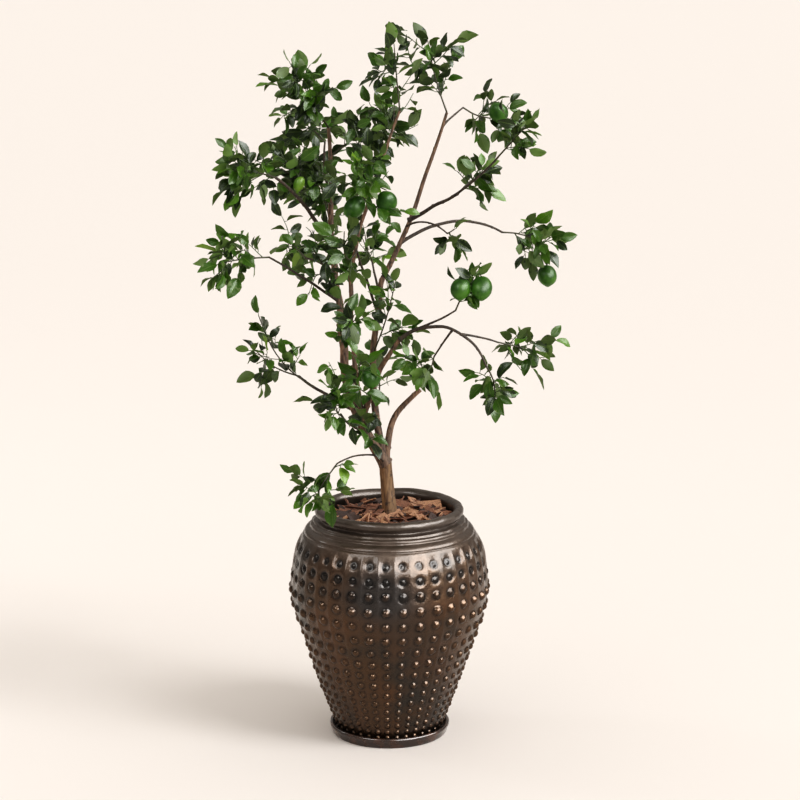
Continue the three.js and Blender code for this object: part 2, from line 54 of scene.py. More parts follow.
# Pot: a stoneware oil jar, thrown on a wheel, 58 cm high. Clay beads are pressed on in 36 straight
# columns, in shallow flutes, and the top ones sit in hollows. The bronze lustre glaze has run dark
# round the beads' feet and thin over their tops, and its colour adds painted shade in the hollows and
# round the beads' feet and a painted highlight on the bead tops.
POT_FOOT = [(0.1200, 0.0083), (0.1275, 0.0083), (0.1300, 0.0110)]
POT_WALL = [
    (0.129, 0.0083), (0.138, 0.040), (0.156, 0.088), (0.183, 0.164), (0.211, 0.254),
    (0.229, 0.304), (0.241, 0.350), (0.244, 0.385), (0.240, 0.430), (0.232, 0.474), (0.213, 0.514),
]
# An incised line, a thrown ring, two steps and a cove lead up to the rim, as radius and height
POT_NECK = [
    (0.2165, 0.5075), (0.2135, 0.5130), (0.2100, 0.5160), (0.2105, 0.5185), (0.2090, 0.5220),
    (0.2055, 0.5262), (0.2000, 0.5298), (0.1962, 0.5318), (0.1952, 0.5345), (0.1950, 0.5380),
    (0.1930, 0.5412), (0.1885, 0.5432), (0.1872, 0.5455), (0.1858, 0.5482), (0.1810, 0.5500),
    (0.1765, 0.5518), (0.1742, 0.5545),
]
RIM_RADIUS = 0.1705
RIM_HALF_WIDTH = 0.0135
RIM_HALF_HEIGHT = 0.0125
RIM_HEIGHT = 0.5685
RIM_SLOPE = 0.002
# The rim's roll goes round from below outside to level inside, in degrees
RIM_ROLL = (-50, 180)
POT_INSIDE = [
    (0.1580, 0.560), (0.1605, 0.550), (0.1650, 0.540), (0.178, 0.530), (0.230, 0.400),
    (0.168, 0.164), (0.115, 0.030),
]
BEAD_COLUMNS = 36
BEAD_ROWS = 17
TOP_BEAD_EDGE = 0.503
# The rows close up with the radius: pitch = slope x radius - offset
ROW_PITCH_SLOPE = 0.21
ROW_PITCH_OFFSET = 0.0125
COLUMN_TURN = math.radians(-1.8)
BEAD_RADIUS_SHARE = 0.0445
BEAD_RISE = 0.86
# Bead size and hollow depth of the three rows on the shoulder, from the top, then of all the others
SHOULDER_BEADS = (0.66, 0.76, 0.92, 1.0)
SHOULDER_HOLLOWS = (0.0060, 0.0060, 0.0034, 0.0010)
# No two beads are alike: they vary by these shares in size, place and hollow
BEAD_VARIES = 0.08
BEAD_SHIFTS = 0.05
HOLLOW_VARIES = 0.2
# The flutes are full at the top height and fade to a trace at the foot height
FLUTE_DEPTH = 0.0026
FLUTE_FOOT = 0.10
FLUTE_TOP = 0.45
FLUTE_TRACE = 0.15
# How far the thrower's hand left the wall and, in smaller dents, the neck and rim uneven
WALL_UNEVEN = 0.0008
NECK_UNEVEN = 0.0005
NECK_FOOT = 0.53
# Where the kiln's smoke left a grey patch, a little left of the front
ASH_BEARING = math.radians(-8)
ASH_HEIGHT = 0.415
ASH_HALF_ANGLE = 0.36
ASH_HALF_HEIGHT = 0.055
# Where the mesh lines cross a column and a row: closer together on the bead
ACROSS_COLUMN = np.array([-1, -0.84, -0.54, -0.46, -0.35, -0.18, 0, 0.18, 0.35, 0.46, 0.54, 0.84])
ACROSS_ROW = np.array([-1, -0.74, -0.58, -0.42, -0.22, 0, 0.22, 0.42, 0.58, 0.74])


def curve_through(points, count):
    """A smooth curve through points, `count` places long. Between two points it is the cubic whose
    slope at each is half the step from the point before it to the point after it."""
    points = np.asarray(points, float)
    last = len(points) - 1
    t = np.linspace(0, last, count)
    k = np.minimum(t.astype(int), last - 1)
    f = (t - k)[:, None]
    before, here, there, after = (points[np.clip(k + step, 0, last)] for step in (-1, 0, 1, 2))
    a, b = (there - before) / 2, (after - here) / 2
    cubic = (2 * here - 2 * there + a + b) * f**3 + (3 * there - 3 * here - 2 * a - b) * f**2
    return cubic + a * f + here


def waves(points, size, seed):
    """Smooth unevenness from about -1 to 1: the sum of seven sine waves in seeded directions, each
    `size` metres long give or take a third, over 2.6, about the root of seven."""
    rng = np.random.default_rng(seed)
    directions = rng.normal(size=(7, 3))
    directions /= np.linalg.norm(directions, axis=1)[:, None]
    pitch = 2 * math.pi / (size * rng.uniform(0.67, 1.33, 7))
    phase = rng.uniform(0, 2 * math.pi, 7)
    return np.sin((points @ directions.T) * pitch + phase).sum(-1) / 2.6


def turned(radius, height, angle):
    """Places on a turned surface: radius and height by ring, angle by column, 0 in front."""
    return np.stack([radius * np.sin(angle), -radius * np.cos(angle), height + 0 * angle], -1)


def ring_faces(rings, columns, poles=(True, True)):
    """Faces of a grid of rings that close on themselves, and, where `poles` says so, a fan to one more
    point before the first ring and after the last. The poles' points come after the grid's."""
    ring, column = np.meshgrid(np.arange(rings - 1), np.arange(columns), indexing="ij")
    after = (column + 1) % columns
    corners = [ring * columns + column, ring * columns + after,
               (ring + 1) * columns + after, (ring + 1) * columns + column]
    faces = [np.stack([c.ravel() for c in corners], 1)]
    j = np.arange(columns)
    after = (j + 1) % columns
    pole = rings * columns
    if poles[0]:
        faces.append(np.stack([np.full(columns, pole), after, j], 1))
        pole += 1
    if poles[1]:
        top = (rings - 1) * columns
        faces.append(np.stack([top + j, top + after, np.full(columns, pole)], 1))
    return faces


def new_piece(name, points, faces, materials, replaced=(), values=None, face_material=None):
    """A smooth mesh object from whole arrays: points, lists of faces with equal corner counts, named
    numbers or pairs for each point, and each face's material. It rides on the root and stands in for
    the nodes that it replaces."""
    mesh = bpy.data.meshes.new(name)
    mesh.from_pydata(points.tolist(), [], [corner for group in faces for corner in group.tolist()])
    for key, numbers in (values or {}).items():
        if numbers.ndim == 2:
            loops = np.zeros(len(mesh.loops), np.int32)
            mesh.loops.foreach_get("vertex_index", loops)
            at_loops = numbers[loops].astype(np.float32).ravel()
            mesh.uv_layers.new(name=key).uv.foreach_set("vector", at_loops)
        else:
            layer = mesh.attributes.new(key, "FLOAT", "POINT")
            layer.data.foreach_set("value", numbers.astype(np.float32))
    for material in materials:
        mesh.materials.append(material)
    if face_material is not None:
        mesh.polygons.foreach_set("material_index", face_material.astype(np.int32))
    mesh.shade_smooth()
    piece = bpy.data.objects.new(name, mesh)
    bpy.context.scene.collection.objects.link(piece)
    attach(piece, "root")
    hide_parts(*replaced)
    return piece


def linear(colour):
    """The shader's linear colour for an sRGB hex value."""
    channels = [int(colour[k:k + 2], 16) / 255 for k in (1, 3, 5)]
    return [c / 12.92 if c <= 0.04045 else ((c + 0.055) / 1.055) ** 2.4 for c in channels] + [1]


def add_node(material, kind, settings=None, **sockets):
    """Adds a node to a material, with its settings, and sets or links its input sockets. A socket is
    named by its own name, with _ for a space, or by in0, in1 and so on."""
    node = material.node_tree.nodes.new(kind)
    for key, value in (settings or {}).items():
        setattr(node, key, value)
    for key, value in sockets.items():
        socket = node.inputs[int(key[2:])] if key[:2] == "in" and key[2:].isdigit() \
            else node.inputs[key.replace("_", " ")]
        if isinstance(value, bpy.types.NodeSocket):
            material.node_tree.links.new(value, socket)
        else:
            socket.default_value = value
    return node


def new_material(name, **settings):
    """A material of one Principled BSDF with the given settings, and its Object coordinates."""
    material = bpy.data.materials.new(name)
    material.use_nodes = True
    shader = material.node_tree.nodes["Principled BSDF"]
    for key, value in settings.items():
        shader.inputs[key.replace("_", " ")].default_value = value
    place = add_node(material, "ShaderNodeTexCoord").outputs["Object"]
    return material, shader, place


def link_shader(material, shader, **sockets):
    """Links outputs to the shader's sockets, each named by its own name, with _ for a space."""
    for key, output in sockets.items():
        material.node_tree.links.new(output, shader.inputs[key.replace("_", " ")])


# A Mix node's setting for colours: its sockets 6 and 7 are then the colours and output 2 is the mix
COLOURS = {"data_type": "RGBA"}
# Sizes in the glaze, in metres
RUST_PATCH = 0.0909
GREY_PATCH = 0.1429
DULL_CLOUD = 0.0222
GLAZE_RUN = 0.0182
CRACKLE_CELL = 0.0238
PEEL_PIT = 0.003846
# Heights between which the glaze turns grey and satin
NECK_TINT = (0.42, 0.556)


# Bronze lustre glaze on stoneware. The eye gets a dark brown gloss, more metal than glass, in patches
# of rust and grey. It turns grey and satin on the neck, near black where it pools and where painted
# shade darkens the hollows and bead feet, and lighter on the bead tops, where thin glaze and a painted
# highlight meet, with fine crackle lines, soft runs and a faint orange peel.
def bronze_glaze():
    material, shader, place = new_material(
        "bronze_lustre_glaze", IOR=1.5, Coat_Weight=0.35, Coat_Roughness=0.12)
    patches = add_node(material, "ShaderNodeTexNoise", Vector=place, Scale=1 / RUST_PATCH, Detail=5,
                       Roughness=0.6)
    rust = add_node(material, "ShaderNodeMapRange", in0=patches.outputs[0], in1=0.47, in2=0.63)
    greys = add_node(material, "ShaderNodeTexNoise", Vector=place, Scale=1 / GREY_PATCH, Detail=4)
    grey = add_node(material, "ShaderNodeMapRange", in0=greys.outputs[0], in1=0.52, in2=0.66)
    height = add_node(material, "ShaderNodeSeparateXYZ", Vector=place).outputs[2]
    neck = add_node(material, "ShaderNodeMapRange", in0=height, in1=NECK_TINT[0], in2=NECK_TINT[1])
    layers = [(rust.outputs[0], "#573f2b"), (grey.outputs[0], "#37322c"), (neck.outputs[0], "#453a31")]
    # The lighter bead tops are partly thin glaze and partly a painted highlight; the near black in the     hollows and round the beads' feet is partly pooled glaze and partly painted shade
    for name, tint in (("ash", "#3b3735"), ("glaze_break_and_highlight", "#604833"), ("pooled_glaze_and_shade", "#0d0a08")):
        share = add_node(material, "ShaderNodeAttribute", {"attribute_name": name})
        layers.append((share.outputs["Fac"], tint))
    colour = linear("#503c2a")
    for share, tint in layers:
        colour = add_node(material, "ShaderNodeMix", COLOURS, in0=share, in6=colour,
                          in7=linear(tint)).outputs[2]
    cloud = add_node(material, "ShaderNodeTexNoise", Vector=place, Scale=1 / DULL_CLOUD, Detail=4)
    gloss = add_node(material, "ShaderNodeMapRange", in0=cloud.outputs[0], in1=0.3, in2=0.7,
                     in3=0.2, in4=0.4)
    satin = add_node(material, "ShaderNodeMath", {"operation": "MULTIPLY_ADD"},
                     in0=neck.outputs[0], in1=0.15, in2=gloss.outputs[0])
    metal = add_node(material, "ShaderNodeMapRange", in0=neck.outputs[0], in3=0.78, in4=0.36)
    sag = add_node(material, "ShaderNodeTexNoise", Vector=place, Scale=1 / GLAZE_RUN, Detail=2)
    runs = add_node(material, "ShaderNodeBump", Strength=0.6, Distance=0.0024, Height=sag.outputs[0])
    peel = add_node(material, "ShaderNodeTexNoise", Vector=place, Scale=1 / PEEL_PIT, Detail=3)
    pitted = add_node(material, "ShaderNodeBump", Strength=0.2, Distance=0.0006,
                      Height=peel.outputs[0], Normal=runs.outputs[0])
    crackle = add_node(material, "ShaderNodeTexVoronoi", {"feature": "DISTANCE_TO_EDGE"},
                       Vector=place, Scale=1 / CRACKLE_CELL)
    line = add_node(material, "ShaderNodeMapRange", in0=crackle.outputs[0], in1=0, in2=0.05)
    bump = add_node(material, "ShaderNodeBump", Strength=0.3, Distance=0.0004,
                    Height=line.outputs[0], Normal=pitted.outputs[0])
    link_shader(material, shader, Base_Color=colour, Roughness=satin.outputs[0],
                Metallic=metal.outputs[0], Normal=bump.outputs[0])
    return material


def beaded_wall():
    """Rings of the beaded wall from the foot up, as radius and height with each ring's row and its
    place across the row from -1 to 1, and the rows' pitches. The row edges step down from the top
    edge by the pitch rule."""
    wall = curve_through(POT_WALL, 400)
    edges = [TOP_BEAD_EDGE]
    for _ in range(BEAD_ROWS):
        radius = np.interp(edges[-1], wall[:, 1], wall[:, 0])
        edges.append(edges[-1] - (ROW_PITCH_SLOPE * radius - ROW_PITCH_OFFSET))
    edges = np.array(edges[::-1])
    pitch = np.diff(edges)[:, None]
    height = (edges[:-1, None] + pitch * (ACROSS_ROW + 1) / 2).ravel()
    row = np.repeat(np.arange(BEAD_ROWS), len(ACROSS_ROW))
    across = np.tile(ACROSS_ROW, BEAD_ROWS)
    return np.interp(height, wall[:, 1], wall[:, 0]), height, row, across, np.diff(edges)


def pot_rings():
    """Radius and height of every ring of the pot, from the foot up over the rim and down inside, which
    of them are the beaded wall's, and their rows. The rim is a roll of oval section that slopes in."""
    wall_radius, wall_height, row, across, pitch = beaded_wall()
    turn = np.radians(np.linspace(*RIM_ROLL, 18))
    rim = np.stack([RIM_RADIUS + RIM_HALF_WIDTH * np.cos(turn),
                    RIM_HEIGHT + RIM_HALF_HEIGHT * np.sin(turn)], 1)
    rim[:, 1] -= RIM_SLOPE * np.clip((RIM_RADIUS - rim[:, 0]) / RIM_HALF_WIDTH, 0, 1)
    wall = np.stack([wall_radius, wall_height], 1)
    rings = np.concatenate([POT_FOOT, wall, curve_through(POT_NECK, 31), rim, curve_through(POT_INSIDE, 8)])
    beaded = slice(len(POT_FOOT), len(POT_FOOT) + len(wall))
    return rings[:, 0], rings[:, 1], beaded, row, across, pitch


def pot_mesh():
    """The pot as one closed skin. Each wall point moves square to the wall by a domed bead,
    rise x radius x (1 - d^2)^0.6 with d the distance from its bead in bead radii, less a hollow of
    (1 - (d / 2)^2)^2, plus a flute of |x|^3 - 0.5 across each column and the thrower's unevenness.
    Returns points, faces and each point's share of three tints: the lighter bead tops, thin glaze and a
    painted highlight; the near black of pooled glaze and painted shade; and ash."""
    radius, height, beaded, row, across, pitch = pot_rings()
    wall_radius, wall_height = radius[beaded, None], height[beaded, None]
    column_angle = 2 * math.pi / BEAD_COLUMNS
    angle = (np.arange(BEAD_COLUMNS)[:, None] + ACROSS_COLUMN / 2) * column_angle + COLUMN_TURN
    angle = angle.ravel()
    slope = np.stack([np.gradient(radius), np.gradient(height)], 1)
    slope /= np.linalg.norm(slope, axis=1)[:, None]

    rng = np.random.default_rng(5)
    shape = (BEAD_ROWS, BEAD_COLUMNS)
    size = BEAD_RADIUS_SHARE * rng.uniform(1 - BEAD_VARIES, 1 + BEAD_VARIES, shape)
    shift_round, shift_up = rng.uniform(-BEAD_SHIFTS, BEAD_SHIFTS, (2,) + shape)
    from_top = np.minimum(BEAD_ROWS - 1 - np.arange(BEAD_ROWS), len(SHOULDER_BEADS) - 1)
    size = size * np.array(SHOULDER_BEADS)[from_top][:, None]
    hollow = np.array(SHOULDER_HOLLOWS)[from_top][:, None]
    hollow = hollow * rng.uniform(1 - HOLLOW_VARIES, 1 + HOLLOW_VARIES, shape)
    column = np.repeat(np.arange(BEAD_COLUMNS), len(ACROSS_COLUMN))
    round_place = np.tile(ACROSS_COLUMN, BEAD_COLUMNS)
    here = (row[:, None], column[None, :])
    bead = size[here] * wall_radius
    sideways = (round_place - shift_round[here]) * column_angle / 2 * wall_radius
    upwards = (across[:, None] - shift_up[here]) * pitch[row][:, None] / 2
    d = np.hypot(sideways, upwards) / bead
    dome = np.clip(1 - d**2, 0, 1) ** 0.6
    dip = hollow[here] * np.clip(1 - (d / 2) ** 2, 0, 1) ** 2
    places = turned(radius[:, None], height[:, None], angle)
    fade = np.clip((wall_height - FLUTE_FOOT) / (FLUTE_TOP - FLUTE_FOOT), FLUTE_TRACE, 1)
    ridge = FLUTE_DEPTH * fade * (0.7 + 0.5 * waves(places[beaded], 0.3, 8))
    flute = ridge * (np.abs(round_place) ** 3 - 0.5)
    relief = np.zeros((len(radius), len(angle)))
    relief[beaded] = BEAD_RISE * bead * rng.uniform(0.85, 1.1, shape)[here] * dome - dip + flute
    relief += WALL_UNEVEN * waves(places, 0.16, 3)
    relief += NECK_UNEVEN * waves(places, 0.03, 9) * (height[:, None] > NECK_FOOT)
    places += relief[..., None] * np.stack(
        [slope[:, 1:] * np.sin(angle), -slope[:, 1:] * np.cos(angle), -slope[:, :1] + 0 * angle], -1)

    glaze_break_and_highlight, pooled_glaze_and_shade, ash = np.zeros((3,) + relief.shape)
    # Lighter over the big beads' domes: partly thinner glaze, partly a painted highlight
    glaze_break_and_highlight[beaded] = 0.6 * dome * (size[here] > 0.9 * BEAD_RADIUS_SHARE)
    bearing = (angle + math.pi) % (2 * math.pi) - math.pi
    ash[beaded] = np.exp(-((bearing - ASH_BEARING) / ASH_HALF_ANGLE) ** 2
                         - ((wall_height - ASH_HEIGHT) / ASH_HALF_HEIGHT) ** 2)
    ash += 0.5 * np.clip(waves(places, 0.5, 12) - 0.25, 0, 1)
    # Near black round each bead's foot and in the shoulder hollows: partly pooled glaze, partly painted
    # shade
    round_foot = 0.4 * np.exp(-(((d - 1.12) / 0.2) ** 2))
    in_hollow = 0.85 * np.clip(hollow[here] / 0.005, 0, 1) * np.exp(-((d / 1.5) ** 4))
    pooled_glaze_and_shade[beaded] = round_foot + in_hollow
    poles = np.array([[0, 0, POT_FOOT[0][1]], [0, 0, POT_INSIDE[-1][1]]])
    points = np.concatenate([places.reshape(-1, 3), poles])
    values = {name: np.append(np.clip(share, 0, 1), [0, 0])
              for name, share in (("glaze_break_and_highlight", glaze_break_and_highlight), ("pooled_glaze_and_shade", pooled_glaze_and_shade), ("ash", ash))}
    return points, ring_faces(len(radius), len(angle)), values


points, faces, values = pot_mesh()
new_piece("glazed_pot", points, faces, [bronze_glaze()], ["pot"], values)

# Saucer: a shallow stoneware dish, thrown and turned like the pot and dipped in dark glaze. The pot
# stands loose in it, on its flat floor, inside a rolled lip.
SAUCER_RADIUS = 0.150
SAUCER_HEIGHT = 0.027
SAUCER_LIP = 0.005
SAUCER_FLOOR = 0.008
SAUCER_OUTSIDE = [(0.120, 0.0), (0.138, 0.0), (0.1412, 0.0006), (0.1440, 0.0040), (0.1466, 0.0120)]
SAUCER_INSIDE = [(0.1392, 0.0160), (0.1375, 0.0105), (0.1340, SAUCER_FLOOR), (0.120, SAUCER_FLOOR)]
GLAZE_CLOUD = 0.0333
GLAZE_PEEL = 0.00333


def saucer_mesh():
    """A dish turned from one profile: flat foot, wall curving out to a lip of round section, and a
    flat floor inside."""
    lip = np.radians(np.linspace(-40, 180, 14))
    roll = np.stack([SAUCER_RADIUS - SAUCER_LIP * (1 - np.cos(lip)),
                     SAUCER_HEIGHT - SAUCER_LIP * (1 - np.sin(lip))], 1)
    profile = np.concatenate([curve_through(SAUCER_OUTSIDE, 12), roll, curve_through(SAUCER_INSIDE, 8)])
    angle = np.linspace(0, 2 * math.pi, 144, endpoint=False)
    places = turned(profile[:, :1], profile[:, 1:], angle)
    uneven = 0.0004 * waves(places, 0.09, 6) * (profile[:, 1:] > 0.002)
    places[..., :2] *= 1 + uneven[..., None] / profile[:, None, :1]
    poles = np.array([[0, 0, 0], [0, 0, SAUCER_FLOOR]])
    return np.concatenate([places.reshape(-1, 3), poles]), ring_faces(len(profile), len(angle))


# Dark brown glaze, dipped thick: the eye gets a wet gloss, with rusty clouds where it thins
def dark_glaze():
    material, shader, place = new_material(
        "dark_brown_glaze", Metallic=0.2, IOR=1.5, Coat_Weight=0.7, Coat_Roughness=0.08)
    cloud = add_node(material, "ShaderNodeTexNoise", Vector=place, Scale=1 / GLAZE_CLOUD, Detail=4)
    thin = add_node(material, "ShaderNodeMapRange", in0=cloud.outputs[0], in1=0.45, in2=0.7)
    colour = add_node(material, "ShaderNodeMix", COLOURS, in0=thin.outputs[0],
                      in6=linear("#2c1d16"), in7=linear("#54331f"))
    gloss = add_node(material, "ShaderNodeMapRange", in0=cloud.outputs[0], in3=0.18, in4=0.36)
    peel = add_node(material, "ShaderNodeTexNoise", Vector=place, Scale=1 / GLAZE_PEEL, Detail=2)
    bump = add_node(material, "ShaderNodeBump", Strength=0.2, Distance=0.0005, Height=peel.outputs[0])
    link_shader(material, shader, Base_Color=colour.outputs[2], Roughness=gloss.outputs[0],
                Normal=bump.outputs[0])
    return material


points, faces = saucer_mesh()
new_piece("glazed_saucer", points, faces, [dark_glaze()], ["saucer"])

# Soil: dark potting soil, filled in to just under the rim, that falls a little from the trunk to the
# wall. It is one closed body, rough on top.
GROUND = 0.5517
SOIL_UNDER_GROUND = 0.004
SOIL_RADIUS = 0.159
SOIL_FALL = 0.007
SOIL_DEPTH = 0.03
# Size and height of its clods and crumbs
CLOD = (0.014, 0.0016)
CRUMB = (0.005, 0.001)
SOIL_GRAIN = 0.00238


def soil_top(radius):
    """Height of the soil at a radius: level at the trunk, then falling as the square of the radius."""
    return GROUND - SOIL_UNDER_GROUND - SOIL_FALL * np.clip(radius / SOIL_RADIUS, 0, 1) ** 2


def soil_mesh():
    """A round plug of soil: an underside, a short side and a top that clods and crumbs raise as waves."""
    radius = np.concatenate([[0.1, SOIL_RADIUS], np.linspace(SOIL_RADIUS, 0.004, 40)])
    angle = np.linspace(0, 2 * math.pi, 120, endpoint=False)
    height = soil_top(radius)
    height[:2] -= SOIL_DEPTH
    places = turned(radius[:, None], height[:, None], angle)
    rough = CLOD[1] * waves(places, CLOD[0], 21) + CRUMB[1] * waves(places, CRUMB[0], 22)
    places[3:, :, 2] += rough[3:]
    poles = np.array([[0, 0, height[0]], [0, 0, height[-1]]])
    return np.concatenate([places.reshape(-1, 3), poles]), ring_faces(len(radius), len(angle))


# Moist potting soil: matt, near black, with grains of about 2 mm
def potting_soil():
    material, shader, place = new_material("moist_potting_soil", Roughness=0.95)
    grains = add_node(material, "ShaderNodeTexNoise", Vector=place, Scale=1 / SOIL_GRAIN, Detail=4)
    colour = add_node(material, "ShaderNodeMix", COLOURS, in0=grains.outputs[0],
                      in6=linear("#120b07"), in7=linear("#2e1e15"))
    bump = add_node(material, "ShaderNodeBump", Strength=0.7, Distance=0.002, Height=grains.outputs[0])
    link_shader(material, shader, Base_Color=colour.outputs[2], Normal=bump.outputs[0])
    return material


points, faces = soil_mesh()
new_piece("soil", points, faces, [potting_soil()], ["soil_and_mulch"])

# Mulch: about 260 flat chips of conifer bark, 2 to 7 cm long, strewn over the soil. They lie on each
# other at all angles and leave the trunk's foot free.
CHIP_TINTS = {"red": ("#8f5f43", 0.42), "dark": ("#3e281d", 0.28), "pale": ("#c4936f", 0.3)}
CHIP_COUNT = 260
CHIP_LENGTH = (0.032, 0.072)
CHIP_WIDTH = (0.015, 0.036)
CHIP_THICKNESS = (0.0015, 0.004)
CHIP_FIELD = 0.150
TRUNK_CLEARANCE = 0.030
CHIP_TO_WALL = 0.003
CHIP_SIZE_SHARE = 0.45
CHIP_TILT = 0.4
CHIP_PILE = 0.018
BARK_FLAKE = 0.00714


def chip_points(rng, count):
    """Bark chips as slabs of 4 by 2 by 2 corners. A chip narrows like a shard to one end, its outline
    is ragged, its middle bows up or down as 1 - x^2, and it is tipped, turned and laid at its own
    height. Returns chip, corner, xyz."""
    along, across, side = (a.ravel() for a in np.meshgrid(
        [-1, -0.4, 0.4, 1], [-1, 1], [-1, 1], indexing="ij"))
    length = rng.uniform(*CHIP_LENGTH, (count, 1)) * rng.uniform(0.6, 1, (count, 1))
    width = rng.uniform(*CHIP_WIDTH, (count, 1))
    thick = rng.uniform(*CHIP_THICKNESS, (count, 1))
    narrow = 1 - rng.uniform(0, 0.8, (count, 1)) * (along + 1) / 2
    ragged = np.repeat(rng.uniform(-0.2, 0.2, (count, 8)), 2, axis=1)
    x = length / 2 * (along + ragged * (np.abs(along) == 1))
    y = width / 2 * (across * narrow + 0.7 * ragged)
    bow = rng.uniform(-0.05, 0.09, (count, 1)) * length
    z = bow * (1 - along**2) + thick / 2 * side
    tip, roll = rng.normal(0, CHIP_TILT, (2, count, 1))
    yaw = rng.uniform(0, 2 * math.pi, (count, 1))
    x, z = x * np.cos(tip) - z * np.sin(tip), x * np.sin(tip) + z * np.cos(tip)
    y, z = y * np.cos(roll) - z * np.sin(roll), y * np.sin(roll) + z * np.cos(roll)
    x, y = x * np.cos(yaw) - y * np.sin(yaw), x * np.sin(yaw) + y * np.cos(yaw)
    share = rng.uniform(0, 1, (count, 1))
    radius = np.sqrt(TRUNK_CLEARANCE**2 + share * (CHIP_FIELD**2 - TRUNK_CLEARANCE**2))
    radius = np.minimum(radius, SOIL_RADIUS - CHIP_TO_WALL - CHIP_SIZE_SHARE * length)
    bearing = rng.uniform(0, 2 * math.pi, (count, 1))
    low = soil_top(radius) + rng.uniform(0, CHIP_PILE, (count, 1))
    return np.stack([x + radius * np.cos(bearing), y + radius * np.sin(bearing), z + low], -1)


def chip_faces(count):
    """Quads of every slab: three on top, three below, three along each side and one at each end."""
    corner = np.arange(16).reshape(4, 2, 2)
    quads = []
    for near, far in zip(corner[:-1], corner[1:]):
        quads += [(near[0, 1], far[0, 1], far[1, 1], near[1, 1]),
                  (near[0, 0], near[1, 0], far[1, 0], far[0, 0]),
                  (near[0, 0], far[0, 0], far[0, 1], near[0, 1]),
                  (near[1, 0], near[1, 1], far[1, 1], far[1, 0])]
    quads += [(corner[0, 0, 0], corner[0, 0, 1], corner[0, 1, 1], corner[0, 1, 0]),
              (corner[3, 0, 0], corner[3, 1, 0], corner[3, 1, 1], corner[3, 0, 1])]
    return (np.array(quads)[None] + 16 * np.arange(count)[:, None, None]).reshape(-1, 4)


# Conifer bark: matt and fibrous, red-brown inside and grey-brown outside, in flakes of 7 mm that break
# up into finer fibres
def conifer_bark(name, colour_hex):
    material, shader, place = new_material(name, Roughness=0.85)
    flakes = add_node(material, "ShaderNodeTexNoise", Vector=place, Scale=1 / BARK_FLAKE, Detail=4,
                      Distortion=1.5)
    shade = add_node(material, "ShaderNodeMapRange", in0=flakes.outputs[0], in1=0.2, in2=0.55)
    colour = add_node(material, "ShaderNodeMix", COLOURS, in0=shade.outputs[0],
                      in6=linear("#4c2d1e"), in7=linear(colour_hex))
    bump = add_node(material, "ShaderNodeBump", Strength=0.5, Distance=0.0008, Height=flakes.outputs[0])
    link_shader(material, shader, Base_Color=colour.outputs[2], Normal=bump.outputs[0])
    return material


chip_rng = np.random.default_rng(14)
for tint, (colour_hex, share) in CHIP_TINTS.items():
    count = round(CHIP_COUNT * share)
    points = chip_points(chip_rng, count).reshape(-1, 3)
    piece = new_piece(f"bark_chips_{tint}", points, [chip_faces(count)],
                      [conifer_bark(f"conifer_bark_{tint}", colour_hex)], ["soil_and_mulch"])
    piece.data.shade_flat()

# Trunk and boughs: living lemon wood. The young trunk flares at the root and forks low into its
# leaders, and thin boughs grow from them, with a collar at each foot and scars where leaves were.

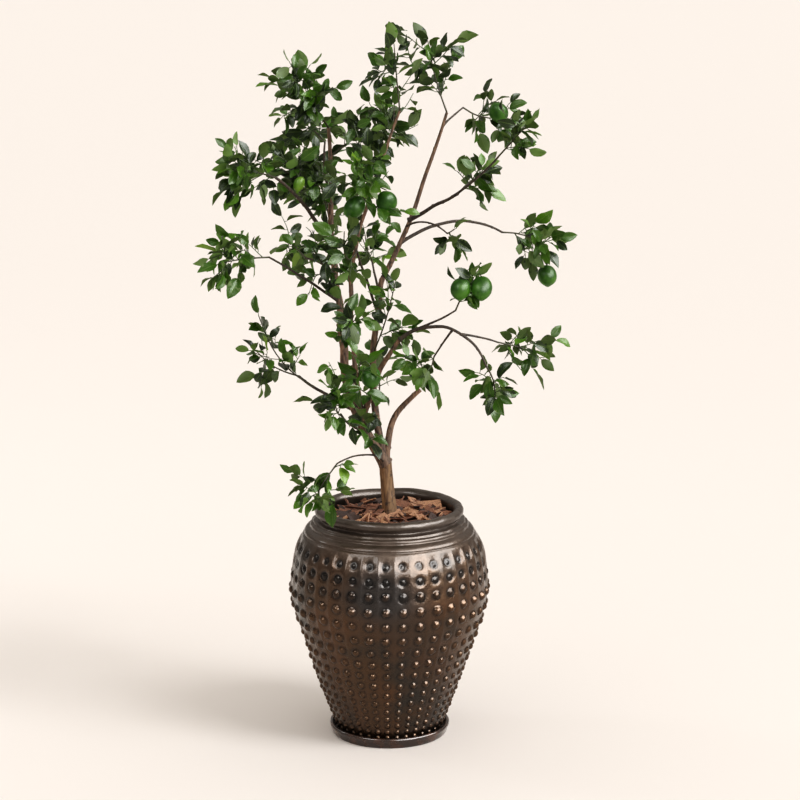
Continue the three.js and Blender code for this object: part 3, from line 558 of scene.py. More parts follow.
# A limb is its parent, the place on it as a share of its length, the radii at foot and tip, and arcs
# of (heading, rise, turn, lift, length) in degrees and metres
LIMBS = {
    "trunk": (None, 0, (0.0175, 0.0155), [(177, 88, 26, -4, 0.14)]),
    "left_leader": ("trunk", 0.97, (0.0132, 0.0042), [
        (-154, 55, -84, 22, 0.281), (98, 77, 59, 5, 0.282), (68, 88, 69, -4, 0.282)]),
    "right_leader": ("trunk", 0.97, (0.0095, 0.0034), [
        (183, 77, -183, 5, 0.443), (13, 65, -9, 8, 0.445)]),
    "centre_leader": ("left_leader", 0.12, (0.007, 0.003), [
        (-127, 73, 7, 18, 0.405), (-17, 77, 7, -9, 0.402)]),
    "arch_foot": ("left_leader", 0.14, (0.008, 0.0052), [(-57, 70, 30, -18, 0.257)]),
    "arch": ("arch_foot", 1, (0.005, 0.0025), [(-24, 44, 0, -113, 0.271)]),
    "arch_side": ("arch", 0.62, (0.003, 0.002), [(17, -7, 8, -16, 0.099)]),
    "lime_twig": ("arch", 0.21, (0.003, 0.002), [(-26, 25, -6, 5, 0.112)]),
    "star_twig": ("arch", 0.54, (0.0028, 0.002), [(144, -50, 10, -8, 0.086)]),
    "right_bough": ("right_leader", 0.69, (0.0052, 0.0034), [(-33, 29, -4, -3, 0.161)]),
    "right_tip_bough": ("right_bough", 0.88, (0.0032, 0.0022), [(-34, 32, 3, 15, 0.167)]),
    "far_right_bough": ("right_leader", 0.62, (0.0046, 0.0026), [(26, 32, 7, -61, 0.309)]),
    "hanging_bough": ("right_leader", 0.67, (0.0026, 0.0018), [(-55, 30, 8, -59, 0.161)]),
    "top_right_bough": ("right_leader", 0.96, (0.0028, 0.002), [(54, 31, 5, -17, 0.102)]),
    "crossing_bough": ("right_leader", 0.42, (0.0036, 0.0024), [(-119, 58, 19, -17, 0.227)]),
    "upper_left_bough": ("left_leader", 0.61, (0.0062, 0.0034), [(-107, 56, -29, -24, 0.34)]),
    "back_left_bough": ("left_leader", 0.58, (0.0036, 0.0024), [(122, 21, 5, -23, 0.136)]),
    "middle_left_bough": ("left_leader", 0.5, (0.0038, 0.0022), [(-128, 31, -9, -2, 0.272)]),
    "low_left_bough": ("left_leader", 0.18, (0.005, 0.003), [(133, 7, 12, 21, 0.203)]),
    "low_front_bough": ("left_leader", 0.11, (0.0036, 0.0026), [(-127, 21, 11, 19, 0.134)]),
    "lowest_bough": ("trunk", 0.92, (0.0026, 0.0018), [(-107, 46, -45, -68, 0.198)]),
    "pruned_stub": ("trunk", 0.97, (0.009, 0.0056), [(62, 88, -69, -51, 0.208)]),
    "back_right_bough": ("right_leader", 0.46, (0.0034, 0.0022), [(100, 33, -5, -20, 0.168)]),
    "back_top_bough": ("left_leader", 0.79, (0.0036, 0.0024), [(115, 53, -31, -12, 0.179)]),
}
LIMB_STEPS = 12
ABOVE_GROUND = 0.0003
ROOT_FLARE = 0.006
COLLAR = 0.45
# A limb's crook, at most, and as a share of its radius
CROOK = (0.0022, 0.35)
# Old leaf scars: how far apart, how far round from one to the next, and for the knob at each its half
# length, its half width and how far it stands out at most
SCAR_STEP = 0.035
SCAR_TURN = math.radians(137.5)
KNOB_HALF_LENGTH = 0.0028
KNOB_HALF_WIDTH = 0.0030
KNOB_RISE = 0.0024
# Mesh spacing along a limb and around it, and the fewest and most sides
RING_STEP = 0.0025
SIDE_STEP = 0.0026
FEWEST_SIDES, MOST_SIDES = 10, 44
BARK_STREAK = 0.00526
BARK_BLOT = 0.01667


def unit(vectors):
    """The same directions, 1 long."""
    return vectors / np.linalg.norm(vectors, axis=-1, keepdims=True)


def walk(start, arcs, steps):
    """Points along a chain of arcs. Each arc is walked in even steps, and the heading and rise of a
    step are those at its middle: heading + turn x t and rise + lift x t."""
    points = [np.asarray(start, float)[None]]
    for heading, rise, turn, lift, length in arcs:
        t = (np.arange(steps) + 0.5) / steps
        h, r = np.radians(heading + turn * t), np.radians(rise + lift * t)
        stride = np.stack([np.cos(r) * np.cos(h), np.cos(r) * np.sin(h), np.sin(r)], 1)
        points.append(points[-1][-1] + np.cumsum(stride * length / steps, 0))
    return np.concatenate(points)


def along(points, fraction):
    """The point at a fraction of a path's length, and the path's direction there."""
    step = np.diff(points, axis=0)
    length = np.linalg.norm(step, axis=1)
    edge = np.append(0, np.cumsum(length))
    place = fraction * edge[-1]
    k = int(np.clip(np.searchsorted(edge, place) - 1, 0, len(step) - 1))
    direction = step[k] / length[k]
    return points[k] + direction * (place - edge[k]), direction


def tube_points(paths, radii, sides):
    """Rings of points round many paths at once. paths is tube, place, xyz, and radii is tube, place or
    tube, place, side. Two axes square to the path carry each ring: the world axis that the path
    leans on least, made square to it, and the one square to both. Returns tube, place, side, xyz."""
    direction = unit(np.gradient(paths, axis=1))
    least = np.abs(direction).max(axis=1).argmin(axis=1)
    side = unit(np.cross(np.eye(3)[least][:, None, :], direction))
    other = np.cross(direction, side)
    angle = np.arange(sides) * 2 * math.pi / sides
    radii = radii[..., None] if radii.ndim == 2 else radii
    ring = side[:, :, None] * np.cos(angle)[:, None] + other[:, :, None] * np.sin(angle)[:, None]
    return paths[:, :, None] + ring * radii[..., None]


def tube_faces(count, rings, sides):
    """Faces of many tubes of one size, closed at both ends. Returns the quads and the end fans."""
    body, first, last = ring_faces(rings, sides)
    shift = (rings * sides + 2) * np.arange(count)[:, None, None]
    return [(body + shift).reshape(-1, 4), (np.concatenate([first, last]) + shift).reshape(-1, 3)]


def tubes(paths, radii, sides):
    """Closed tubes, all with as many rings and sides: points with two poles a tube, and faces."""
    count, rings = paths.shape[:2]
    points = tube_points(paths, radii, sides).reshape(count, -1, 3)
    points = np.concatenate([points, paths[:, :1], paths[:, -1:]], 1)
    return points.reshape(-1, 3), tube_faces(count, rings, sides)


def joined(parts):
    """One mesh from many: the points in a row, and each part's faces moved on by the points before."""
    points = np.concatenate([p for p, _ in parts])
    starts = np.append(0, np.cumsum([len(p) for p, _ in parts]))
    sizes = sorted({group.shape[1] for _, faces in parts for group in faces})
    faces = [np.concatenate([group + start for (_, groups), start in zip(parts, starts)
                             for group in groups if group.shape[1] == size]) for size in sizes]
    return points, faces


limb_paths = {}
for name, (on, at, radii, arcs) in LIMBS.items():
    foot = along(limb_paths[on], at)[0] if on else (0, 0, GROUND + ABOVE_GROUND)
    limb_paths[name] = walk(foot, arcs, LIMB_STEPS)


def limb_mesh(name, seed):
    """A limb as a tube with the bark's relief. Its radius is the taper, plus a flare or a collar that
    fades as an exponential from its foot, times 1 plus long waves that follow the wood's grain, plus
    a knob, as a bell curve, at each old leaf scar. The path itself has a crook of 1 to 2 mm."""
    on, at, (foot, tip), arcs = LIMBS[name]
    rng = np.random.default_rng(seed)
    length = sum(arc[4] for arc in arcs)
    rings = max(12, round(length / RING_STEP))
    sides = int(np.clip(round(2 * math.pi * foot / SIDE_STEP), FEWEST_SIDES, MOST_SIDES))
    path = curve_through(limb_paths[name], rings)
    t = np.linspace(0, 1, rings)
    s = t * length
    crook = min(CROOK[0], CROOK[1] * foot) * np.sin(math.pi * t)[:, None]
    path = path + crook * np.stack([waves(path, 0.11, seed + k) for k in (40, 41, 42)], 1)
    swell = ROOT_FLARE * np.exp(-9 * t) if on is None else COLLAR * foot * np.exp(-s / (1.6 * foot))
    radius = (foot + (tip - foot) * t + swell)[:, None]
    angle = np.arange(sides) * 2 * math.pi / sides
    grain = np.stack([2.2 * np.cos(angle) + 0 * s[:, None], 2.2 * np.sin(angle) + 0 * s[:, None],
                      0.035 * s[:, None] / foot + 0 * angle], -1)
    relief = 1 + 0.03 * waves(grain, 2.6, seed) + 0.012 * waves(grain * [1, 1, 4], 0.9, seed + 1)
    scars = np.arange(0.03 + 0.02 * rng.random(), length - 0.01, SCAR_STEP)
    scars = scars + rng.uniform(-0.008, 0.008, len(scars))
    turns = SCAR_TURN * np.arange(len(scars)) + rng.uniform(-0.5, 0.5, len(scars))
    knob = min(KNOB_RISE, 0.38 * tip + 0.0004)
    for scar, turn in zip(scars, turns):
        away = (angle - turn + math.pi) % (2 * math.pi) - math.pi
        spot = ((s - scar) / KNOB_HALF_LENGTH)[:, None] ** 2 + (away * radius / KNOB_HALF_WIDTH) ** 2
        relief = relief + knob * rng.uniform(0.5, 1) * np.exp(-spot) / radius
    return tubes(path[None], (radius * relief)[None], sides)


# Lemon bark: smooth and matt, in long grey and tan streaks of 5 mm that follow the wood, with dark
# scars. The trunk is tan, the leaders brown, and the boughs dark.
def lemon_bark(name, pale, dark, streak):
    material, shader, place = new_material(name, Roughness=0.78)
    stretch = add_node(material, "ShaderNodeMapping", Vector=place, Scale=(1, 1, streak))
    streaks = add_node(material, "ShaderNodeTexNoise", Vector=stretch.outputs[0], Scale=1 / BARK_STREAK,
                       Detail=5)
    shade = add_node(material, "ShaderNodeMapRange", in0=streaks.outputs[0], in1=0.36, in2=0.64)
    bare = add_node(material, "ShaderNodeMix", COLOURS, in0=shade.outputs[0],
                    in6=linear(dark), in7=linear(pale))
    blots = add_node(material, "ShaderNodeTexNoise", Vector=place, Scale=1 / BARK_BLOT, Detail=3)
    scar = add_node(material, "ShaderNodeMapRange", in0=blots.outputs[0], in1=0.6, in2=0.7, in4=0.7)
    colour = add_node(material, "ShaderNodeMix", COLOURS, in0=scar.outputs[0],
                      in6=bare.outputs[2], in7=linear("#2e1f14"))
    bump = add_node(material, "ShaderNodeBump", Strength=0.6, Distance=0.0008, Height=streaks.outputs[0])
    link_shader(material, shader, Base_Color=colour.outputs[2], Normal=bump.outputs[0])
    return material


LEADERS = ["left_leader", "right_leader", "centre_leader", "arch_foot", "pruned_stub"]
boughs = [name for name in LIMBS if name not in LEADERS + ["trunk"]]
order = list(LIMBS)
for piece_name, names, bark in [
    ("trunk_bark", ["trunk"], lemon_bark("tan_lemon_bark", "#a58057", "#634629", 0.12)),
    ("leader_bark", LEADERS, lemon_bark("brown_lemon_bark", "#8f7058", "#4a3628", 0.2)),
    ("bough_bark", boughs, lemon_bark("dark_lemon_bark", "#50402f", "#281e15", 0.4)),
]:
    points, faces = joined([limb_mesh(name, 100 + order.index(name)) for name in names])
    new_piece(piece_name, points, faces, [bark], names)

# Twigs: young green shoots, in masses at the boughs' ends and along the leaders. Twigs grow from a
# mass's stem at even spaces and by thirds of a turn, leaves grow from both the same way on short
# stalks, and finer sprays with smaller leaves fill in between.

# A mass is its limb, the place on it, the stem's arc, the twigs' reach, their number and the seed
MASSES = {
    "top_centre": ("centre_leader", 1, (-190, 84, 17, 2, 0.145), 0.05, 3, 8),
    "top_right": ("right_leader", 1, (194, 68, -26, 13, 0.168), 0.08, 5, 57),
    "right_upper": ("top_right_bough", 1, (42, -34, -40, 38, 0.118), 0.055, 4, 13),
    "right_tip": ("right_tip_bough", 1, (-35, 45, -7, -2, 0.097), 0.055, 3, 14),
    "right_middle": ("right_bough", 1, (26, 50, 7, -34, 0.075), 0.04, 5, 33),
    "far_right": ("far_right_bough", 1, (12, 1, -42, -37, 0.112), 0.06, 6, 29),
    "lime_pair": ("lime_twig", 1, (-26, 69, 25, -22, 0.087), 0.025, 3, 14),
    "right_spray": ("arch_side", 1, (4, -12, 26, -8, 0.074), 0.07, 4, 1),
    "drooping": ("arch", 1, (35, -51, -29, -42, 0.073), 0.03, 3, 30),
    "star": ("star_twig", 1, (140, -89, -24, 92, 0.065), 0.05, 3, 3),
    "top_left": ("left_leader", 1, (-134, 52, -8, -9, 0.169), 0.06, 6, 34),
    "back_top": ("back_top_bough", 1, (128, 33, -41, -52, 0.159), 0.095, 6, 61),
    "left_cluster": ("upper_left_bough", 1, (-198, 16, 18, -10, 0.085), 0.07, 6, 23),
    "dense_left": ("left_leader", 0.78, (-113, 28, -29, 3, 0.204), 0.1, 7, 67),
    "high_left": ("left_leader", 0.92, (7, 42, -34, -28, 0.155), 0.06, 6, 48),
    "high_centre": ("centre_leader", 0.9, (73, 30, -15, 62, 0.084), 0.085, 4, 9),
    "fruit_spray": ("centre_leader", 0.71, (-107, 21, 18, 24, 0.152), 0.105, 5, 39),
    "left_middle": ("middle_left_bough", 1, (-158, 2, 24, -6, 0.127), 0.045, 5, 58),
    "back_left": ("back_left_bough", 1, (106, 7, 7, 3, 0.162), 0.065, 3, 39),
    "inner_left": ("left_leader", 0.6, (-96, -8, -31, 65, 0.148), 0.065, 4, 30),
    "crossing": ("crossing_bough", 1, (-121, -50, 20, 168, 0.118), 0.05, 4, 22),
    "low_inner": ("left_leader", 0.4, (-77, 21, -4, 9, 0.183), 0.075, 4, 67),
    "upright_shoot": ("low_left_bough", 0.71, (159, 22, 4, 53, 0.228), 0.03, 3, 34),
    "low_left": ("low_left_bough", 1, (-189, 11, 46, 39, 0.117), 0.06, 4, 3),
    "low_front": ("low_front_bough", 1, (-95, -1, -12, 85, 0.116), 0.07, 5, 46),
    "centre_low": ("centre_leader", 0.15, (-95, -5, 21, 73, 0.144), 0.06, 4, 10),
    "right_inner": ("right_leader", 0.31, (-41, 62, -21, 6, 0.192), 0.065, 3, 29),
    "hanging": ("hanging_bough", 1, (-65, 14, 19, 18, 0.022), 0.075, 2, 54),
    "lowest": ("lowest_bough", 1, (-110, -18, -59, -54, 0.104), 0.06, 3, 38),
    "trunk_spray": ("left_leader", 0.07, (-102, 19, -14, 49, 0.116), 0.04, 2, 30),
    "back_right": ("back_right_bough", 1, (92, 0, 25, 45, 0.101), 0.075, 3, 21),
    "back": ("left_leader", 0.7, (95, 23, 19, 26, 0.27), 0.085, 4, 47),
    "low_back": ("right_leader", 0.17, (73, 11, 37, 38, 0.184), 0.065, 2, 64),
}
# How many finer sprays each mass has
SPRAYS = {
    "dense_left": 16, "top_left": 14, "high_left": 12, "left_cluster": 12, "fruit_spray": 10,
    "back_top": 9, "back": 9, "high_centre": 8, "left_middle": 9, "inner_left": 8, "right_upper": 6,
    "low_inner": 3, "top_right": 6, "low_left": 6, "low_front": 6, "right_inner": 4, "lowest": 5,
    "trunk_spray": 1, "centre_low": 1, "crossing": 2, "low_back": 2,
}
FEW_SPRAYS = 4
# The crown's left is old, dark growth; the middle and the lowest sprays carry younger leaves
SHADE_OF_MASS = {
    "dense_left": -0.16, "high_left": -0.14, "top_left": -0.08, "left_cluster": -0.1, "back": -0.1,
    "low_inner": 0.14, "right_inner": 0.16, "star": 0.12, "centre_low": 0.1, "fruit_spray": 0.04,
    "lowest": 0.08,
}
STEM_STEPS = 3
# How far apart leaves grow, and the shortest and longest leaf of the rule before they are scaled
STEM_LEAF_STEP = 0.031
TWIG_LEAF_STEP = 0.024
SOURCE_LEAF = (0.064, 0.088)
FIRST_SIDE = 30
THIRD_OF_TURN = 120
# The share of a stem and of a twig that is bare, and where twigs begin on a stem and over how much
STEM_BARE = 0.25
TWIG_BARE = 0.35
TWIGS_FROM, TWIGS_OVER = 0.15, 0.8
# How far a twig leans off its stem, at least and how much more, in degrees, and its turn to the light
TWIG_LEAN, TWIG_LEAN_MORE = 42, 26
TWIG_LIFT = 0.22
# Smaller leaves on the far side of stems and twigs
FAR_LEAF_STEP = 0.034
FAR_LEAF_SCALE = 0.82
# Finer sprays: their share of the reach, at least and how much more, and the places of their leaves
SPRAY_REACH, SPRAY_REACH_MORE = 0.4, 0.35
SPRAY_LIFT = 0.15
SPRAY_LEAVES = (0.4, 0.62, 0.85, 0.99)
SPRAY_LEAF_SCALE = 0.78
SPRAY_SEED = 500
# How far twig ends and leaves keep off limbs and fruit
TWIG_GAP = 0.002
LEAF_GAP = 0.001


def seeded(seed):
    """The source's seeded numbers from 0 to 1: a 32-bit count stepped by a fixed odd number, and
    stirred by shifts and products."""
    state = seed
    low = 0xFFFFFFFF

    def draw():
        nonlocal state
        state = (state + 0x6D2B79F5) & low
        stirred = (state ^ (state >> 15)) * (1 | state) & low
        stirred = (stirred + ((stirred ^ (stirred >> 7)) * (61 | stirred) & low)) & low ^ stirred
        return ((stirred ^ (stirred >> 14)) & low) / 4294967296

    return draw


def reference_for(points):
    """The world direction that a path's cross axes are square to: the usual one, or x where a step of
    the path lies close to that."""
    usual = unit(np.array([0.1, 0.75, -0.65]))
    close = np.abs(unit(np.diff(points, axis=0)) @ usual).max() > 0.95
    return np.array([1.0, 0, 0]) if close else usual


def tilted(direction, angle, spread, reference):
    """A direction leaned away from another by `spread` degrees, towards `angle` degrees round it."""
    side = unit(np.cross(reference, direction))
    other = np.cross(direction, side)
    a, s = math.radians(angle), math.radians(spread)
    return direction * math.cos(s) + (side * math.cos(a) + other * math.sin(a)) * math.sin(s)


def leaf_at(draw, axis, t, points, angle, at_tip):
    """One leaf of the rule: its blade leans off the twig and droops, and its face is mostly up, away
    from the twig, with a seeded tumble. Returns axis, place on it, blade, face and share of size."""
    spread = 6 + 14 * draw() if at_tip else 48 + 24 * draw()
    droop = 0.1 if at_tip else 0.1 + 0.35 * draw()
    direction, reference = along(points, t)[1], reference_for(points)
    blade = unit(tilted(direction, angle, spread, reference) - [0, 0, droop])
    tumble = np.array([draw() - 0.5, draw() - 0.5, draw() - 0.5])
    face = np.array([0, 0, 0.55]) - 0.35 * tilted(direction, angle, 90, reference) + 1.5 * tumble
    face = unit(face - blade * (face @ blade))
    return axis, t, blade, face, draw()


def grow(path, reach, twigs, seed):
    """The source's rule: the twigs of a mass, then the leaves of its stem and twigs. Returns the stem
    and twigs as paths, and the leaves, each with its scale."""
    draw = seeded(seed)
    axes = [(path, STEM_BARE, STEM_LEAF_STEP)]
    for k in range(twigs):
        place = TWIGS_FROM + TWIGS_OVER * (k + 0.25 + 0.5 * draw()) / twigs
        angle = FIRST_SIDE + THIRD_OF_TURN * k + 36 * (draw() - 0.5)
        spread = TWIG_LEAN + TWIG_LEAN_MORE * draw()
        length = reach * (0.75 + 0.4 * draw()) * (1 - 0.25 * place)
        point, direction = along(path, place)
        heading = unit(tilted(direction, angle, spread, reference_for(path)) + [0, 0, TWIG_LIFT])
        axes.append((np.array([point, point + heading * length]), TWIG_BARE, TWIG_LEAF_STEP))
    leaves = []
    for which, (points, start, step) in enumerate(axes):
        length = np.linalg.norm(np.diff(points, axis=0), axis=1).sum()
        count = max(1, math.floor(length * (1 - start) / step + 0.5))
        for k in range(count + 1):
            at_tip = k == count
            t = 1 - 0.001 / length if at_tip else start + (1 - start) * k / count
            angle = FIRST_SIDE + THIRD_OF_TURN * (k + which) + 40 * (draw() - 0.5)
            leaves.append(leaf_at(draw, which, t, points, angle, at_tip) + (1.0,))
    return [axis[0] for axis in axes], leaves


def grow_finer(axes, reach, sprays, seed):
    """The rule carried on: smaller leaves on the far side of the stem and twigs, and short sprays of
    four small leaves from seeded places on them. Returns all paths and the leaves that are added."""
    draw = seeded(seed + SPRAY_SEED)
    leaves = []
    for which, points in enumerate(axes):
        length = np.linalg.norm(np.diff(points, axis=0), axis=1).sum()
        count = max(1, round(length / FAR_LEAF_STEP))
        for k in range(count):
            t = 0.3 + 0.66 * (k + 0.3 + 0.4 * draw()) / count
            angle = FIRST_SIDE + THIRD_OF_TURN * (k + which) + 180 + 60 * (draw() - 0.5)
            leaves.append(leaf_at(draw, which, t, points, angle, False) + (FAR_LEAF_SCALE,))
    finer = []
    for k in range(sprays):
        points = axes[int(draw() * len(axes))]
        place = 0.1 + 0.85 * draw()
        point, direction = along(points, place)
        turn, spread = 360 * draw(), 40 + 30 * draw()
        heading = unit(tilted(direction, turn, spread, reference_for(points)) + [0, 0, SPRAY_LIFT])
        tip = point + heading * reach * (SPRAY_REACH + SPRAY_REACH_MORE * draw())
        which = len(axes) + len(finer)
        finer.append(np.array([point, tip]))
        for t in SPRAY_LEAVES:
            leaf = leaf_at(draw, which, t, finer[-1], 360 * draw(), t == SPRAY_LEAVES[-1])
            leaves.append(leaf + (SPRAY_LEAF_SCALE,))
    return axes + finer, leaves


stems = {name: walk(along(limb_paths[on], at)[0], [stem], STEM_STEPS)
         for name, (on, at, stem, _, _, _) in MASSES.items()}
limb_places = np.concatenate([curve_through(path, 80) for path in limb_paths.values()])
limb_radii = np.concatenate([np.linspace(*LIMBS[name][2], 80) for name in limb_paths])


def free_of_limbs(points, gap):
    """Whether each point keeps `gap` clear of every limb."""
    away = np.linalg.norm(points[:, None] - limb_places[None], axis=2) - limb_radii
    return away.min(axis=1) > gap


def in_own_space(name, point):
    """Whether a point lies nearer to its mass's stem than to any other stem."""
    nearest = {other: np.linalg.norm(path - point, axis=1).min() for other, path in stems.items()}
    return min(nearest, key=nearest.get) == name


# Fruit by mass, as x, y, z of the centre and diameter, which the leaves keep clear of
FRUIT = {
    "right_upper": [(0.267, 0.16, 1.53, 0.048)],
    "far_right": [(0.394, 0.205, 1.12, 0.049)],
    "lime_pair": [(0.168, -0.185, 1.151, 0.048), (0.217, -0.18, 1.152, 0.051)],
    "dense_left": [(-0.211, -0.1, 1.387, 0.027)],
    "fruit_spray": [(-0.058, -0.115, 1.42, 0.046), (-0.08, -0.16, 1.339, 0.05),
                    (-0.005, -0.15, 1.351, 0.05)],
    "centre_low": [(-0.042, -0.16, 0.935, 0.047)],
}
fruit_list = np.array([fruit for group in FRUIT.values() for fruit in group])


def free_of_fruit(points):
    """Whether each point lies outside every fruit and LEAF_GAP clear of it."""
    away = np.linalg.norm(points[:, None] - fruit_list[None, :, :3], axis=2)
    return (away > fruit_list[:, 3] / 2 + LEAF_GAP).all(axis=1)


STEM_RADII = (0.0022, 0.0012)
TWIG_RADII = (0.0013, 0.0008)
STALK_RADII = (0.0009, 0.0007)
STALK_LENGTH = 0.007
LEAF_SCALE = 0.67
LEAF_DROOP = 0.16
STALK_IN_LEAF = 0.001
TIP_STRETCH = 0.010
TWIG_BOW = 0.07
TINT_SPREAD = 0.12
TIP_TINT = 0.1
# Where a leaf is probed for limbs, fruit and its own space, as shares of its length along and across
LEAF_PROBE = np.array([(0.05, 0), (0.3, 0), (0.6, 0), (0.95, 0), (0.45, 0.22), (0.45, -0.22)])


def bowed(axes, twig_count, rng):
    """The paths of a mass as smooth curves, with a seeded tint for each. Every path is carried on a
    little past its tip. A twig starts on the stem's curve, and a twig or spray bows aside in its
    middle by a share of its length."""
    curves, tints = [], []
    for which, points in enumerate(axes):
        tip, direction = points[-1], unit(points[-1] - points[-2])
        stretched = np.concatenate([points[:-1], [tip + direction * TIP_STRETCH]])
        if which:
            bow = np.cross(direction, rng.normal(size=3)) * np.linalg.norm(tip - points[0]) * TWIG_BOW
            first = points[0]
            if which <= twig_count:
                nearest = np.linalg.norm(curves[0] - first, axis=1).argmin()
                first = along(curves[0], nearest / (len(curves[0]) - 1))[0]
            stretched = np.array([first, (first + stretched[-1]) / 2 + bow, stretched[-1]])
        curves.append(curve_through(stretched, 7 if which else 13))
        tints.append(rng.random())
    return curves, tints


stem_tubes, twig_tubes, stalk_tubes, leaf_rows = [], [], [], []
for name, (_, _, _, reach, twig_count, seed) in MASSES.items():
    axes, leaves = grow(stems[name], reach, twig_count, seed)
    axes, finer = grow_finer(axes, reach, SPRAYS.get(name, FEW_SPRAYS), seed)
    rng = np.random.default_rng(seed + 900)
    curves, tints = bowed(axes, twig_count, rng)
    tips = np.array([points[-1] for points in axes])
    kept = free_of_limbs(tips, TWIG_GAP) & [in_own_space(name, tip) for tip in tips]
    kept[0] = True
    stem_tubes.append(curves[0])
    twig_tubes += [curve for curve, keep in zip(curves[1:], kept[1:]) if keep]
    for which, t, blade, face, size, scale in leaves + finer:
        length = (SOURCE_LEAF[0] + (SOURCE_LEAF[1] - SOURCE_LEAF[0]) * size) * LEAF_SCALE * scale
        root = along(curves[which], t)[0]
        blade = unit(blade - [0, 0, LEAF_DROOP])
        face = unit(face - blade * (face @ blade))
        base = root + blade * STALK_LENGTH
        probe = base + length * (LEAF_PROBE @ np.array([blade, np.cross(face, blade)]))
        if not kept[which] or not in_own_space(name, probe[2]):
            continue
        if free_of_limbs(probe, LEAF_GAP).all() and free_of_fruit(probe).all():
            stalk_end = base + blade * STALK_IN_LEAF
            stalk_tubes.append(np.array([root, (root + base) / 2, stalk_end]))
            tint = tints[which] + SHADE_OF_MASS.get(name, 0) + TINT_SPREAD * rng.normal()
            tint += TIP_TINT * (t > 0.9)
            leaf_rows.append(np.concatenate([base, blade, face, [length, tint], rng.random(5)]))


# Green lemon twig: smooth young bark, satin, brown-green on the stems and leaf green on the finest
# twigs and leaf stalks, clouded every 8 mm
TWIG_CLOUD = 0.00833


def twig_bark(name, young, old):
    material, shader, place = new_material(name, Roughness=0.55)
    cloud = add_node(material, "ShaderNodeTexNoise", Vector=place, Scale=1 / TWIG_CLOUD, Detail=3)
    colour = add_node(material, "ShaderNodeMix", COLOURS, in0=cloud.outputs[0],
                      in6=linear(old), in7=linear(young))
    bump = add_node(material, "ShaderNodeBump", Strength=0.4, Distance=0.0004, Height=cloud.outputs[0])
    link_shader(material, shader, Base_Color=colour.outputs[2], Normal=bump.outputs[0])
    return material


masses_replaced = [f"{name}_leaves" for name in MASSES]
paths = np.array(stem_tubes)
radii = np.broadcast_to(np.linspace(*STEM_RADII, paths.shape[1]), paths.shape[:2])
points, faces = tubes(paths, radii, 7)
new_piece("stems", points, faces, [twig_bark("brown_green_stem", "#474624", "#30260f")],
          masses_replaced)
paths = np.array(twig_tubes)
radii = np.broadcast_to(np.linspace(*TWIG_RADII, paths.shape[1]), paths.shape[:2])
fine_paths = np.array(stalk_tubes)
fine_radii = np.broadcast_to(np.linspace(*STALK_RADII, 3), fine_paths.shape[:2])
points, faces = joined([tubes(paths, radii, 6), tubes(fine_paths, fine_radii, 4)])
new_piece("twigs_and_leaf_stalks", points, faces, [twig_bark("leaf_green_twig", "#45601b", "#2b3a10")],
          masses_replaced)

# Leaves: about fourteen hundred leathery lemon leaves, 35 to 60 mm long, pointed at both ends. Each
# is a thin closed blade, folded along its rib, bowed down to the tip and waved at the edge.
LEAF_STATIONS = np.array([0.07, 0.2, 0.36, 0.54, 0.72, 0.88])
LEAF_THICKNESS = 0.0006
# A leaf's bend in radians, its fold, and its half width as a share of the length, each at least and
# how much more
LEAF_BEND, LEAF_BEND_MORE = 0.25, 0.95
LEAF_FOLD, LEAF_FOLD_MORE = 0.08, 0.38
LEAF_HALF_WIDTH, LEAF_HALF_WIDTH_MORE = 0.245, 0.065
LEAF_TWIST = 0.9
EDGE_WAVE = 0.16
PILLOW = 0.05
# By tint: where it begins, and the colours of the top and the underside
LEAF_TINTS = {
    "deep": (0.0, "#1f3506", "#52672f"),
    "green": (0.36, "#40660f", "#5f7838"),
    "fresh": (0.8, "#588319", "#6f8f44"),
    "young": (1.2, "#78a12c", "#86a648"),
}


